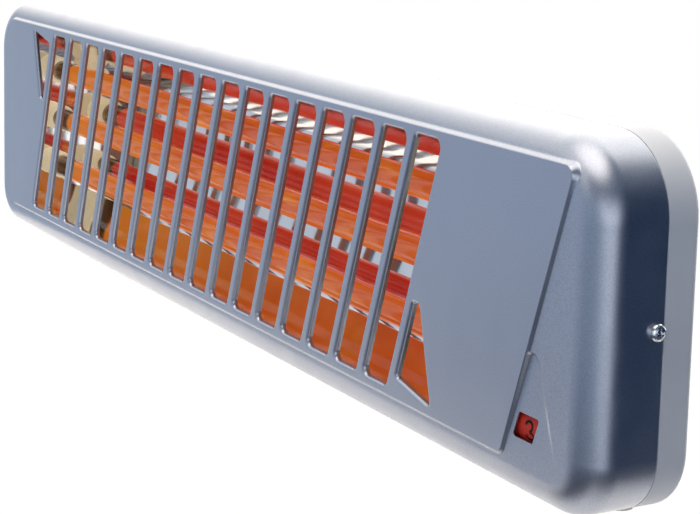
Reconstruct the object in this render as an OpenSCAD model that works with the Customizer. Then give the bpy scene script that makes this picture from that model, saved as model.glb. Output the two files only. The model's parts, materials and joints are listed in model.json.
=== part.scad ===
// Electric bar heater for a wall: three quartz tubes behind a slanted grille,
// a pull switch with a numbered drum, and a bracket that lets the case tilt.
// X runs along the case, -Y points out of the wall, Z points up.
// The origin is the middle of the bracket's wall screws, on the wall.
// "h" is the height above the wall, so a point lies at y = -h.

/* [Case] */
// Length of the case
case_l = 566; // [556:1:590]
// Height of the case
case_h = 125; // [123:1:132]
// Depth of the front cover, from the seam to its border face
cover_d = 27; // [26:0.5:30]
// Depth of the rear housing
housing_d = 13; // [12.5:0.5:15]
// Sheet thickness of the front cover
cover_t = 2; // [1.5:0.1:2.4]
// Sheet thickness of the rear housing
housing_t = 1.8; // [1.4:0.1:2]
// Radius of the case's upper corners, seen from the front
corner_top_r = 27; // [24:1:30]
// Radius of the case's lower corners, seen from the front
corner_bottom_r = 22; // [20:1:28]
// Radius of the rounded front edge
front_r = 12; // [9:1:13]
// Radius of the housing's rounded rear edge
rear_r = 3; // [2:0.5:4]

/* [Front panel] */
// Height of the raised panel above the border
panel_rise = 1; // [0.6:0.1:1.5]
// Distance from the case's left end to the panel
panel_left = 15; // [14:0.5:18]
// Distance from the case's right end to the middle of the panel's slanted edge
panel_right = 29.8; // [28:0.5:32]
// Distance from the case's top to the panel
panel_top = 8.5; // [8:0.5:12]
// Distance from the case's bottom to the panel
panel_bottom = 13.5; // [12:0.5:14]
// Lean of the slots and of the panel's end, sideways per unit of height
lean = 0.35; // [0.3:0.01:0.38]
// Depth of the wedge-shaped recess round the window, at its top
wedge_d = 0.9; // [0.6:0.1:1.1]
// Width of the wedge-shaped recess at its foot, where it runs out
wedge_w = 27.5; // [25:0.5:29]
// Height of the recess's top above the panel's foot
wedge_h = 38; // [36:0.5:39]

/* [Grille] */
// Number of slots
slot_n = 17; // [15:1:17]
// Distance from one slot to the next
slot_pitch = 22.8; // [21.5:0.1:23]
// Width of a slot
slot_w = 17.2; // [15:0.1:18]
// Distance from the panel's upper and lower edges to the slots
slot_margin = 3.75; // [3:0.25:8]
// Radius of a slot's corners
slot_r = 2.6; // [1:0.2:4]
// Distance from the case's left end to the first slot, at half height
slot_left = 76.3; // [74:0.5:78]
// Thickness of the bars
bar_t = 2.5; // [1.8:0.1:2.8]

/* [Heating tubes] */
// Distance between the tubes
tube_pitch = 26; // [24:0.5:26.5]
// Outer diameter of a quartz tube
tube_d = 11; // [10:0.5:12]
// Wall of a quartz tube
tube_t = 1.2; // [1:0.1:1.4]
// Outer diameter of a heating coil
coil_d = 6.8; // [5.5:0.1:7]
// Unlit length of tube beside each cap
tube_stub = 15.4; // [12:0.2:18]
// Depth of the tube axes behind the border face
tube_depth = 19; // [18:0.5:20]
// Outer diameter of a ceramic cap
cap_d = 14; // [13.5:0.1:15]
// Length of a ceramic cap
cap_l = 28; // [26:0.5:30]
// Length of a ceramic cap inside its end plate
cap_in = 20; // [18:0.5:21]
// Diameter of a terminal stud
stud_d = 2.4; // [2:0.1:2.6]

/* [Reflector and plates] */
// Sheet thickness of the reflector and the end plates
sheet_t = 0.8; // [0.6:0.1:1]
// Distance from the case's left end to the left end plate
plate_left = 33; // [32:0.5:35]
// Distance from the case's right end to the right end plate
plate_right = 77; // [76.5:0.5:80]
// Gap between the reflector's back and the housing's floor
reflector_gap = 5.4; // [5:0.1:6]

/* [Pull switch] */
// Width of the window
window_w = 10.9; // [9:0.1:12]
// Height of the window
window_h = 8.9; // [7:0.1:9.5]
// Distance from the case's right end to the middle of the window
window_right = 35.6; // [35:0.1:36]
// Distance from the case's bottom to the middle of the window
window_bottom = 26; // [25.5:0.1:27.5]
// Diameter of the numbered drum
drum_d = 22; // [20:0.5:22.5]
// Width of the numbered drum
drum_w = 17.8; // [16:0.1:18]
// Diameter of the switch shaft
shaft_d = 4; // [3.6:0.1:4.2]
// Outer diameter of the ratchet wheel
ratchet_d = 16; // [14:0.5:16]
// Distance from the shaft to the eye for the pull cord
lever_l = 19; // [18:0.5:19.5]
// Diameter of the eye for the pull cord
eye_d = 2.5; // [2:0.1:3]

/* [Bracket] */
// Distance from the wall to the case's back
wall_gap = 44; // [44:1:50]
// Distance from the wall to the tilt pivots
pivot_h = 22; // [21:0.5:25]
// Width of the wall bracket
bracket_w = 206; // [180:1:220]
// Height of the wall bracket's back plate
bracket_h = 40; // [34:1:44]
// Sheet thickness of the wall bracket
bracket_t = 2; // [1.5:0.1:2.5]
// Diameter of the pivot screws
pivot_d = 6; // [5:0.5:6]
// Distance between the two wall screws
wall_hole_pitch = 160; // [140:1:170]
// Diameter of the wall screw holes
wall_hole_d = 5.5; // [4.5:0.5:6]

/* [Fasteners and cable] */
// Head diameter of the cover screws
cover_screw_head = 6; // [5:0.2:6.4]
// Shank diameter of the cover screws
cover_screw_d = 3.5; // [3:0.1:4]
// Shank diameter of the small inner screws
small_screw_d = 3; // [2.5:0.1:3]
// Cable diameter that the gland takes
cable_d = 8; // [6:0.5:8.5]
// Outer diameter of the inner leads
lead_d = 2.2; // [1.8:0.1:2.2]

/* [Hidden] */
$fn = 64;

// Clearances: a running fit, a sliding fit and a gap beside moving pieces
run = 0.05;
slide = 0.15;
free = 0.4;
// A cut's overrun past a face
eps = 0.5;

// Case planes, as heights above the wall
floor_h = wall_gap + housing_t;
seam_h = wall_gap + housing_d;
border_h = seam_h + cover_d;
panel_h = border_h + panel_rise;
skin_h = border_h - cover_t;
case_x = case_l / 2;
case_z = case_h / 2;

// Raised panel
panel_x0 = -case_x + panel_left;
panel_x1 = case_x - panel_right;
panel_z0 = -case_z + panel_bottom;
panel_z1 = case_z - panel_top;
panel_mid_z = (panel_z0 + panel_z1) / 2;
panel_corner_r = 4;

// Grille
slot_x0 = -case_x + slot_left;
slot_mid_x = slot_x0 + (slot_pitch * (slot_n - 1) + slot_w) / 2;
slot_z = panel_mid_z;
slot_h = panel_z1 - panel_z0 - 2 * slot_margin;
bar_w = slot_pitch - slot_w;
tri_top_w = 23.5;
tri_h = 35;
tri_fall = 5;
tri_tip_w = 4;
tri_r = 1.2;
window_r = 0.8;
pocket_margin = 2.5;

// Wedge recess and window
wedge_x = panel_x1 - lean * (panel_mid_z - panel_z0);
wedge_apex_z = panel_z0 + wedge_h;
wedge_foot_z = panel_z0 + 5.3;
wedge_reach = 10;
wedge_tip_w = 5.2;
wedge_tip_cut = 2;
window_x = case_x - window_right;
window_z = -case_z + window_bottom;
wedge_angle = atan(wedge_d / (wedge_apex_z - wedge_foot_z));
window_rim = 1.5;

// Tubes
tube_h = border_h - tube_depth;
tube_mid_z = 0.7;
tube_zs = [for (i = [1, 0, -1]) tube_mid_z + i * tube_pitch];
plate_x0 = -case_x + plate_left;
plate_x1 = case_x - plate_right;
cap_x0 = plate_x0 + cap_in;
cap_x1 = plate_x1 - cap_in;
coil_x0 = cap_x0 + tube_stub;
coil_x1 = cap_x1 - tube_stub;
cap_bore_l = 12;
cap_collar_d = cap_d + 3;
cap_collar_t = 2;
link_t = 1;
nut_t = 2.4;
nut_w = 5.5;
stud_out = 7.5;
link_half = 4;
link_x = cap_x0 - cap_l;
right_x = cap_x1 + cap_l;

// Reflector and plates
reflector_back_h = floor_h + reflector_gap;
reflector_front_h = skin_h - 4;
reflector_z = case_z - housing_t - 3.7;
bend_w = 20;
bend_rise = 18.5;
bend_fall = 0.5;
fold_z = 23 - reflector_z;
fold_out = 9;
fold_drop = 15;
foot_w = 11;
plate_z = case_z - cover_t - 2;
foot_screw_zs = [20.5 - plate_z, plate_z - 24.5];
lead_z = tube_mid_z + tube_pitch / 2;
lead_h = floor_h + lead_d / 2 + 0.2;
lead_rise = 9;
lead_step = 4;
plate_front_h = skin_h - 1;

// Heat shield
shield_t = 0.5;
shield_h = floor_h + 3.2;
shield_z = case_z - 16.5;
shield_x0 = plate_x0 + 14;
shield_x1 = plate_x1 - 14;

// Pull switch, along its shaft
drum_lap = 0.6;
drum_x1 = window_x + window_w / 2 + lean * window_h / 2 + drum_lap;
drum_x0 = drum_x1 - drum_w;
drum_wall = 1.5;
wheel_t = 2.2;
wheel_x = drum_x1 + 0.2;
lever_t = 1.8;
lever_x = wheel_x + wheel_t + free;
spring_d = 5;
spring_wire = 0.8;
spring_x = lever_x + lever_t + free + spring_d / 2;
frame_t = 1.2;
frame_x1 = spring_x + spring_d / 2 + free + 0.8;
frame_x0 = drum_x0 - 2.2;
switch_w = 12.4;
switch_x0 = frame_x0 - switch_w;
shaft_end = 1.5;
axis_z = window_z;
window_face_h = border_h - (window_z - wedge_foot_z) * tan(wedge_angle);
lip_t = 0.8;
axis_h = window_face_h - lip_t - 0.6 - drum_d / 2;
lever_rise = 12;
hub_d = shaft_d + 6;
lever_w = 5.6;
pin_d = 1.8;
post_d = 2;
pawl_arm = 9.6;
pawl_rise = 5.4;
tooth_n = 12;
tooth_h = 1.6;
tooth_phase = 6;
peg_r = 4.6;
peg_d = 1.6;
leaf_t = 0.7;
leaf_foot = 3;
spring_arm = 12;
spring_top_z = axis_z + 32;
frame_half = 13;
frame_z = [axis_z - frame_half, axis_z + frame_half];
tab_half = 5;
tab_low = 8;
tab_high = 10;
switch_half = 15;
switch_front = 9.5;
shaft_blind = 4;
groove = 0.6;
blade_x = 4;
blade_w = 6;
blade_l = 3;
blade_t = 0.8;
blade_pitch = 8;
eye_x = lever_x + lever_t / 2;
eye_h = axis_h - lever_l * cos(lever_rise);
eye_z = axis_z + lever_l * sin(lever_rise);
spring_h = axis_h - spring_arm * cos(lever_rise);
spring_low_z = axis_z + spring_arm * sin(lever_rise);
spring_turns = 12;
spring_sides = 6;
spring_steps = 8;
spring_r = (spring_d - spring_wire) / 2;
spring_seat = 1.4;
spring_neck = 0.9;
spring_z0 = spring_low_z + 3.4;
spring_z1 = spring_top_z - 3.4;
bush_bore_d = 4.4;
bush_neck_d = 7;
bush_flange_d = 10;
bush_flange_t = 1.6;

// Bracket and hinge
bracket_x = bracket_w / 2;
washer_t = 1.5;
hinge_t = 1.5;
hinge_x = bracket_x + washer_t + hinge_t;
hinge_z = 18;
ear_r = 9;
hinge_screw_x = 80;
hinge_screw_z = 11;
bracket_lip = 8;
pivot_head_d = 11;
pivot_nut_t = 4.5;
pivot_nut_w = 10;

// Terminal block, gland, clamp and earth
gland_x = case_x - 38;
gland_z = case_z - 18.5;
block_x = [case_x - 56, case_x - 26];
block_z = [gland_z - 36, gland_z - 20];
block_h = [floor_h, floor_h + 14];
block_ways = 3;
way_pitch = (block_x[1] - block_x[0]) / block_ways;
way_h = lead_h + 4;
well_d = 5;
well_h = way_h + lead_d / 2;
well_zs = [block_z[0] + 4, block_z[1] - 4];
block_screw_x = block_x[0] + way_pitch;
block_screw_z = (block_z[0] + block_z[1]) / 2;
cutout_x = plate_x1 + sheet_t;
cutout_z = case_z - 16.5;
cutout_d = 13;
cutout_l = 7.5;
cutout_blade = 1.5;
gland_flange_d = cable_d + 8;
gland_neck_d = cable_d + 4;
clamp_z = gland_z - 11;
clamp_half = 12;
clamp_t = 3;
clamp_screw_x = clamp_half - 3;
earth_x = case_x - 18;
earth_z = gland_z - 18;
stud_m4 = 4;
earth_nut_t = 3.2;
earth_nut_w = 7;
earth_washer_t = 1;

cover_screw_h = seam_h + cover_screw_head / 2;
cover_screw_z = 1.5;
pad_t = 4;
pad_half = 7;
lip_d = 6.5;
lip_wall = 1.3;
vent_n = 22;
vent_pitch = 18;
vent_l = 14;
vent_w = 3;
vent_zs = [-case_z + 13.5, case_z - 13.5];
// The vents stop short of the gland and the earth stud
vent_x0 = -case_x + 50;

// Shape of a pan head and its cross recess, as shares of the head
pan_height = 0.4;
pan_dome = 0.65;
cross_l = 0.58;
cross_w = 0.12;
cross_floor = 0.45;
// Facets round a thin round piece
lead_fn = 24;

steel = "silver";
paint = "#8A96AB";
shell_grey = "#E2E4E7";
polished = "#DDE2E6";
cream = "#E9DFC4";

// ---------------------------------------------------------------- helpers

function at(x, z, h) = [x, -h, z];

// Points of an arc in the plane
function arc(c, r, a0, a1, n) = [for (i = [0:n]) let (a = a0 + (a1 - a0) * i / n)
  c + r * [cos(a), sin(a)]];

// A polygon's points with each corner rounded by a radius
function rounded(pts, r, n = 4) = [for (i = [0:len(pts) - 1])
  let (p = pts[i], a = pts[(i + len(pts) - 1) % len(pts)], b = pts[(i + 1) % len(pts)],
    u = (a - p) / norm(a - p), v = (b - p) / norm(b - p),
    half = acos(min(1, max(-1, u * v))) / 2, c = p + (u + v) / norm(u + v) * r / sin(half),
    s = atan2((p + u * r / tan(half) - c)[1], (p + u * r / tan(half) - c)[0]),
    e = atan2((p + v * r / tan(half) - c)[1], (p + v * r / tan(half) - c)[0]),
    d = (e - s + 540) % 360 - 180)
  each arc(c, r, s, s + d, n)];

// A bent strip: a line of points given a thickness to its left
function strip(pts, t) = concat(pts, [for (i = [len(pts) - 1:-1:0])
  let (a = pts[max(i - 1, 0)], p = pts[i], b = pts[min(i + 1, len(pts) - 1)],
    u = i == 0 ? (b - p) / norm(b - p) : (p - a) / norm(p - a),
    v = i == len(pts) - 1 ? u : (b - p) / norm(b - p),
    m = [-(u + v)[1], (u + v)[0]] / norm(u + v))
  p + m * t / (m * [-u[1], u[0]])]);

// Draws a plan, seen from the front, out of the wall
module upright() { rotate([90, 0, 0]) children(); }

// Draws a section, x = -h and y = z, along the case
module along(x) {
  translate([x[0], 0, 0]) rotate([90, 0, 90]) linear_extrude(x[1] - x[0]) children();
}

module block(x, z, h) {
  translate([x[0], -h[1], z[0]]) cube([x[1] - x[0], h[1] - h[0], z[1] - z[0]]);
}
module rod_x(d, x, z, h, n = $fn) {
  translate(at(x[0], z, h)) rotate([0, 90, 0]) cylinder(h = x[1] - x[0], d = d, $fn = n);
}
module rod_h(d, x, z, h, n = $fn) {
  translate(at(x, z, h[0])) rotate([90, 0, 0]) cylinder(h = h[1] - h[0], d = d, $fn = n);
}
module rod_z(d, x, z, h, n = $fn) {
  translate(at(x, z[0], h)) cylinder(h = z[1] - z[0], d = d, $fn = n);
}

// A lead: straight runs with round corners
module lead(pts, d) {
  for (i = [0:len(pts) - 2]) {
    v = pts[i + 1] - pts[i];
    translate(pts[i]) rotate([0, acos(v[2] / norm(v)), atan2(v[1], v[0])])
      cylinder(h = norm(v), d = d, $fn = lead_fn);
  }
  for (i = [1:len(pts) - 2]) translate(pts[i]) sphere(d = d, $fn = lead_fn);
}

// A pan head with a cross recess, standing on z = 0, and its shank below
module pan_screw(head_d, shank_d, shank_l) {
  head_t = head_d * pan_height;
  dome = head_t * pan_dome;
  cross = [head_d * cross_l, head_d * cross_w, head_t];
  difference() {
    union() {
      rotate_extrude() polygon(concat([[0, 0], [head_d / 2, 0]],
        [for (a = [0:15:90]) [head_d / 2 * cos(a), head_t - dome + dome * sin(a)]]));
      translate([0, 0, -shank_l]) cylinder(h = shank_l + eps / 2, d = shank_d);
    }
    for (a = [0, 90]) rotate([0, 0, a])
      translate([-cross[0] / 2, -cross[1] / 2, head_t * cross_floor]) cube(cross);
  }
}
module hex_nut(across, t, bore) {
  difference() {
    cylinder(h = t, d = across / cos(30), $fn = 6);
    translate([0, 0, -eps]) cylinder(h = t + 2 * eps, d = bore);
  }
}

// The case's outline, drawn in from its edge by an inset
module case_outline(inset) {
  hx = case_x - inset;
  hz = case_z - inset;
  rt = corner_top_r - inset;
  rb = corner_bottom_r - inset;
  translate([-hx + rb, -hz]) square([2 * (hx - rb), hz]);
  translate([-hx + rt, -eps]) square([2 * (hx - rt), hz + eps]);
  translate([-hx, -hz + rb]) square([2 * hx, 2 * hz - rb - rt]);
  for (s = [-1, 1]) {
    translate([s * (hx - rb), -hz + rb]) circle(rb);
    translate([s * (hx - rt), hz - rt]) circle(rt);
  }
}

// A block on the case's outline with its upper edge rounded by r: a middle, four
// straight sides and four turned corners, which meet on flat faces
module soft_block(inset, depth, r) {
  hx = case_x - inset;
  hz = case_z - inset;
  rt = corner_top_r - inset;
  rb = corner_bottom_r - inset;
  rim = max(rt, rb);
  translate([-hx + rim, -hz + rb, 0]) cube([2 * (hx - rim), 2 * hz - rb - rt, depth]);
  side_l = 2 * hz - rb - rt;
  // Right, left, upper and lower sides
  rim_side([hx - rim, hz - rt], 0, side_l) rim_section(rim, depth, r);
  rim_side([-hx + rim, -hz + rb], 180, side_l) rim_section(rim, depth, r);
  rim_side([-hx + rt, hz - rt], 90, 2 * (hx - rt)) rim_section(rt, depth, r);
  rim_side([hx - rb, -hz + rb], -90, 2 * (hx - rb)) rim_section(rb, depth, r);
  // Corners, from the upper right one round to the left
  rim_corner([hx - rt, hz - rt], 0) rim_section(rt, depth, r);
  rim_corner([-hx + rt, hz - rt], 90) rim_section(rt, depth, r);
  rim_corner([-hx + rb, -hz + rb], 180) rim_section(rb, depth, r);
  rim_corner([hx - rb, -hz + rb], 270) rim_section(rb, depth, r);
}
module rim_side(p, turn, l) { translate([p[0], p[1], 0]) rotate([90, 0, turn]) linear_extrude(l) children(); }
module rim_corner(p, turn) {
  translate([p[0], p[1], 0]) rotate([0, 0, turn]) rotate_extrude(angle = 90) children();
}
module rim_section(w, depth, r) {
  difference() {
    square([w, depth]);
    translate([w - r, depth - r]) difference() {
      square(r + eps);
      circle(r);
    }
  }
}

// ---------------------------------------------------------------- front cover

// A plan point that leans with the slots
function leaning(x, z) = [x + lean * (z - slot_z), z];

// One slot, from its left edge at half height
module slot_plan(x) {
  lo = slot_z - slot_h / 2;
  hi = slot_z + slot_h / 2;
  right = x + slot_w;
  polygon(rounded([leaning(x, lo), leaning(right, lo), leaning(right, hi), leaning(x, hi)], slot_r));
}

// The three-sided opening at the left end, whose outer edge leans the other way
module end_slot_plan() {
  hi = slot_z + slot_h / 2;
  edge = leaning(slot_x0 - bar_w, hi - tri_fall);
  tip = leaning(slot_x0 - bar_w, hi - tri_h);
  polygon(rounded([tip, edge, [edge[0] - tri_top_w, hi], tip - [tri_tip_w, 0]], tri_r));
}

module panel_plan() {
  top_x = panel_x1 + lean * (panel_z1 - panel_mid_z);
  foot_x = panel_x1 - lean * (panel_mid_z - panel_z0);
  polygon(rounded([[panel_x0, panel_z0], [foot_x, panel_z0], [top_x, panel_z1], [panel_x0, panel_z1]],
    panel_corner_r, 6));
}

// The back of the panel is hollowed so that the bars are thin
module pocket_plan() {
  lo = slot_z - slot_h / 2 - pocket_margin;
  hi = slot_z + slot_h / 2 + pocket_margin;
  left = slot_x0 - bar_w - tri_top_w - pocket_margin;
  right = 2 * slot_mid_x - left;
  polygon([leaning(left + tri_top_w, lo), [right, lo], leaning(right - tri_top_w, hi), [left, hi]]);
}

// The wedge-shaped recess, widening to its foot
function beside_panel(z) = [wedge_x + lean * (z - panel_z0), z];
module wedge_plan() {
  apex = beside_panel(wedge_apex_z);
  foot = beside_panel(wedge_foot_z);
  low = beside_panel(wedge_foot_z - window_rim);
  polygon([low, low + [wedge_w, 0], foot + [wedge_w, 0], apex + [wedge_tip_w, -wedge_tip_cut],
    apex + [wedge_tip_w - wedge_tip_cut, 0], apex]);
}

// What lies on the recess's plan and above its floor, which runs out at its foot
module above_wedge_floor() {
  intersection() {
    translate([0, 0, border_h - 2 * wedge_d]) linear_extrude(wedge_reach) wedge_plan();
    translate([wedge_x - wedge_reach, wedge_foot_z, border_h]) rotate([-wedge_angle, 0, 0])
      translate([0, -wedge_h, 0]) cube([wedge_w + 4 * wedge_reach, 3 * wedge_h, wedge_reach]);
  }
}
module window_plan(grow) {
  w = window_w / 2 + grow;
  z = window_h / 2 + grow;
  polygon(rounded([[window_x - w - lean * z, window_z - z], [window_x + w - lean * z, window_z - z],
    [window_x + w + lean * z, window_z + z], [window_x - w + lean * z, window_z + z]], window_r));
}

module front_cover() {
  color(paint) upright() difference() {
    union() {
      translate([0, 0, seam_h]) soft_block(0, cover_d, front_r);
      translate([0, 0, skin_h]) linear_extrude(panel_h - skin_h) panel_plan();
    }
    translate([0, 0, seam_h - cover_t]) soft_block(cover_t, cover_d, front_r - cover_t);
    translate([0, 0, skin_h - eps]) linear_extrude(panel_h - bar_t - skin_h + eps) pocket_plan();
    above_wedge_floor();
    // The skin is thinner round the window, so that the drum lies close behind it
    translate([drum_x0 - window_rim, window_z - window_h / 2 - window_rim, skin_h - eps])
      cube([drum_w + 2 * window_rim, window_h + 2 * window_rim, window_face_h - lip_t - skin_h + eps]);
    for (i = [0:slot_n - 1]) translate([0, 0, skin_h - eps])
      linear_extrude(panel_h) slot_plan(slot_x0 + i * slot_pitch);
    translate([0, 0, skin_h - eps]) {
      linear_extrude(panel_h) end_slot_plan();
      translate([2 * slot_mid_x, 2 * slot_z, 0]) rotate([0, 0, 180]) linear_extrude(panel_h)
        end_slot_plan();
    }
    translate([0, 0, axis_h]) linear_extrude(panel_h) window_plan(0);
    for (s = [-1, 1]) translate([s * case_x, cover_screw_z, cover_screw_h]) rotate([0, 90, 0])
      cylinder(h = 3 * cover_t, d = cover_screw_d + 2 * slide, center = true);
  }
}

module cover_screws() {
  color("#D8DADC") for (s = [-1, 1]) translate(at(s * case_x, cover_screw_z, cover_screw_h))
    rotate([0, s * 90, 0]) pan_screw(cover_screw_head, cover_screw_d, cover_t + slide + pad_t - 0.6);
}

// ---------------------------------------------------------------- rear housing

module rear_housing() {
  lip_in = cover_t + slide;
  color(shell_grey) difference() {
    union() {
      upright() difference() {
        union() {
          // The rounded edge faces the wall
          translate([0, 0, seam_h]) mirror([0, 0, 1]) soft_block(0, housing_d, rear_r);
          translate([0, 0, floor_h]) linear_extrude(seam_h + lip_d - floor_h) case_outline(lip_in);
        }
        translate([0, 0, floor_h]) linear_extrude(housing_d + lip_d) case_outline(lip_in + lip_wall);
      }
      // Pads for the cover screws
      for (s = [-1, 1]) mirror([s < 0 ? 1 : 0, 0, 0])
        block([case_x - lip_in - pad_t, case_x - lip_in],
          [cover_screw_z - pad_half, cover_screw_z + pad_half], [floor_h - eps, seam_h + lip_d]);
    }
    for (s = [-1, 1]) translate(at(s * case_x, cover_screw_z, cover_screw_h)) rotate([0, 90, 0])
      cylinder(h = 4 * pad_t, d = cover_screw_d + 2 * run, center = true);
    // Vents above and below
    for (z = vent_zs, i = [0:vent_n - 1])
      block([vent_x0 + i * vent_pitch, vent_x0 + i * vent_pitch + vent_l], [z - vent_w / 2, z + vent_w / 2],
        [wall_gap - eps, floor_h + eps]);
    for (x = [-1, 1], z = [-1, 1]) rod_h(small_screw_d + 2 * run, x * hinge_screw_x, z * hinge_screw_z,
      [wall_gap - eps, floor_h + eps]);
    foot_screw_places() rod_h(small_screw_d + 2 * run, 0, 0, [wall_gap - eps, floor_h + eps]);
    rod_h(gland_neck_d + 2 * run, gland_x, gland_z, [wall_gap - eps, floor_h + eps]);
    rod_z(bush_neck_d + 2 * run, eye_x, [-case_z - eps, -case_z + lip_in + lip_wall + eps], eye_h);
    earth_place() rod_h(stud_m4 + 2 * run, 0, 0, [wall_gap - eps, floor_h + eps]);
    switch_screw_places() rod_h(small_screw_d + 2 * run, 0, 0, [wall_gap - eps, floor_h + eps]);
    clamp_screw_places() rod_h(small_screw_d + 2 * run, 0, 0, [wall_gap - eps, floor_h + eps]);
    rod_h(small_screw_d + 2 * run, block_screw_x, block_screw_z, [wall_gap - eps, floor_h + eps]);
  }
}

// ---------------------------------------------------------------- reflector and plates

// Section of the reflector: a round upper bend and two folds below
reflector_line = concat(
  [[-reflector_front_h, reflector_z]],
  [for (a = [0:10:90]) [-(reflector_back_h + bend_w) + bend_w * sin(a),
    reflector_z - bend_fall - bend_rise + bend_rise * cos(a)]],
  [[-reflector_back_h, fold_z], [-(reflector_back_h + fold_out), fold_z - fold_drop],
   [-reflector_front_h, -reflector_z]]);

module reflector() {
  color(polished) along([plate_x0 + sheet_t, plate_x1 - sheet_t]) polygon(strip(reflector_line, sheet_t));
}

module end_plate(x, s) {
  // x is the outer face, s points outwards, and the foot lies on the housing's floor
  wall = s < 0 ? [x, x + sheet_t] : [x - sheet_t, x];
  foot = s < 0 ? [x - foot_w, x + sheet_t] : [x - sheet_t, x + foot_w];
  difference() {
    union() {
      block(wall, [-plate_z, plate_z], [floor_h, plate_front_h]);
      block(foot, [-plate_z + 8, plate_z - 8], [floor_h, floor_h + sheet_t]);
    }
    for (z = tube_zs) rod_x(cap_d + 2 * slide, [x - 2, x + 2], z, tube_h);
    // A notch for the long lead
    block([x - foot_w - eps, x + foot_w + eps], [lead_z - 4, lead_z + 4], [floor_h - eps, floor_h + 3]);
    foot_screw_places() rod_h(small_screw_d + 2 * run, 0, 0, [floor_h - eps, floor_h + 2]);
    // Clipped front corners clear the cover's rounded edge
    for (t = [-1, 1]) translate(at(x - 2, t * plate_z, plate_front_h)) rotate([45, 0, 0])
      translate([0, -6, -6]) cube([4, 12, 12]);
  }
}
module foot_screw_places() {
  for (x = [plate_x0 - foot_w / 2, plate_x1 + foot_w / 2], z = foot_screw_zs)
    translate([x, 0, z]) children();
}

module end_plate_left() { color(polished) end_plate(plate_x0, -1); }
module end_plate_right() { color(polished) end_plate(plate_x1, 1); }
module end_plate_screws() {
  color(steel) foot_screw_places() translate(at(0, 0, floor_h + sheet_t)) rotate([90, 0, 0])
    pan_screw(small_screw_d + 2.4, small_screw_d, housing_t + sheet_t);
}

module heat_shield() {
  // A flat tray whose long edges stand on the floor
  color("#B9BEC2") difference() {
    along([shield_x0, shield_x1]) polygon(strip([[-floor_h, -shield_z], [-shield_h, -shield_z + 2],
      [-shield_h, shield_z - 2], [-floor_h, shield_z]], shield_t));
    for (x = [-1, 1], z = [-1, 1])
      rod_h(small_screw_d + 4, x * hinge_screw_x, z * hinge_screw_z, [floor_h - eps, shield_h + 2]);
  }
}

// ---------------------------------------------------------------- heating tubes

module quartz_tube(z) {
  color([0.95, 0.95, 0.95, 0.4]) difference() {
    rod_x(tube_d, [cap_x0 - cap_bore_l, cap_x1 + cap_bore_l], z, tube_h);
    rod_x(tube_d - 2 * tube_t, [cap_x0 - cap_bore_l - 1, cap_x1 + cap_bore_l + 1], z, tube_h);
  }
}
module quartz_tube_top() { quartz_tube(tube_zs[0]); }
module quartz_tube_middle() { quartz_tube(tube_zs[1]); }
module quartz_tube_bottom() { quartz_tube(tube_zs[2]); }

// A coil wound so close that its turns touch: a rod, with its mandrel's bore
module heating_coil(z) {
  color("#FF6A1A") difference() {
    rod_x(coil_d, [coil_x0, coil_x1], z, tube_h);
    rod_x(coil_d - 2.4, [coil_x0 + 1, coil_x1 - 1], z, tube_h);
  }
}
module heating_coil_top() { heating_coil(tube_zs[0]); }
module heating_coil_middle() { heating_coil(tube_zs[1]); }
module heating_coil_bottom() { heating_coil(tube_zs[2]); }

// Caps, drawn for the left end: collar outside the plate, tube socket inside
module tube_cap() {
  difference() {
    union() {
      cylinder(h = cap_l, d = cap_d);
      translate([0, 0, cap_l - cap_in - cap_collar_t]) cylinder(h = cap_collar_t, d = cap_collar_d);
    }
    translate([0, 0, cap_l - cap_bore_l]) cylinder(h = cap_bore_l + eps, d = tube_d + 2 * run);
    translate([0, 0, -eps]) cylinder(h = cap_l, d = stud_d + 2 * run);
  }
}
module tube_caps_left() {
  color(cream) for (z = tube_zs) translate(at(cap_x0 - cap_l, z, tube_h)) rotate([0, 90, 0]) tube_cap();
}
module tube_caps_right() {
  color(cream) for (z = tube_zs) translate(at(cap_x1 + cap_l, z, tube_h)) rotate([0, -90, 0]) tube_cap();
}

// A stud runs from the coil's end, out of the cap, and carries a nut
module terminal_stud(inner_l, plate) {
  total = inner_l + cap_l + stud_out;
  rotate([0, 0, 30]) {
    translate([0, 0, -stud_out]) cylinder(h = total, d = stud_d);
    translate([0, 0, -plate - nut_t]) cylinder(h = nut_t, d = nut_w / cos(30), $fn = 6);
  }
}
module terminal_studs_left() {
  color(steel) for (z = tube_zs) translate(at(cap_x0 - cap_l, z, tube_h)) rotate([0, 90, 0])
    terminal_stud(tube_stub, link_t);
}
module terminal_studs_right() {
  color(steel) for (z = tube_zs) translate(at(cap_x1 + cap_l, z, tube_h)) rotate([0, -90, 0])
    terminal_stud(tube_stub, 0);
}
module common_link() {
  color("#C9A24B") difference() {
    block([cap_x0 - cap_l - link_t, cap_x0 - cap_l], [tube_zs[2] - link_half, tube_zs[0] + link_half],
      [tube_h - link_half, tube_h + link_half]);
    for (z = tube_zs) rod_x(stud_d + 2 * run, [cap_x0 - cap_l - 2, cap_x0 - cap_l + 1], z, tube_h);
  }
}

// ---------------------------------------------------------------- leads

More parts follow.
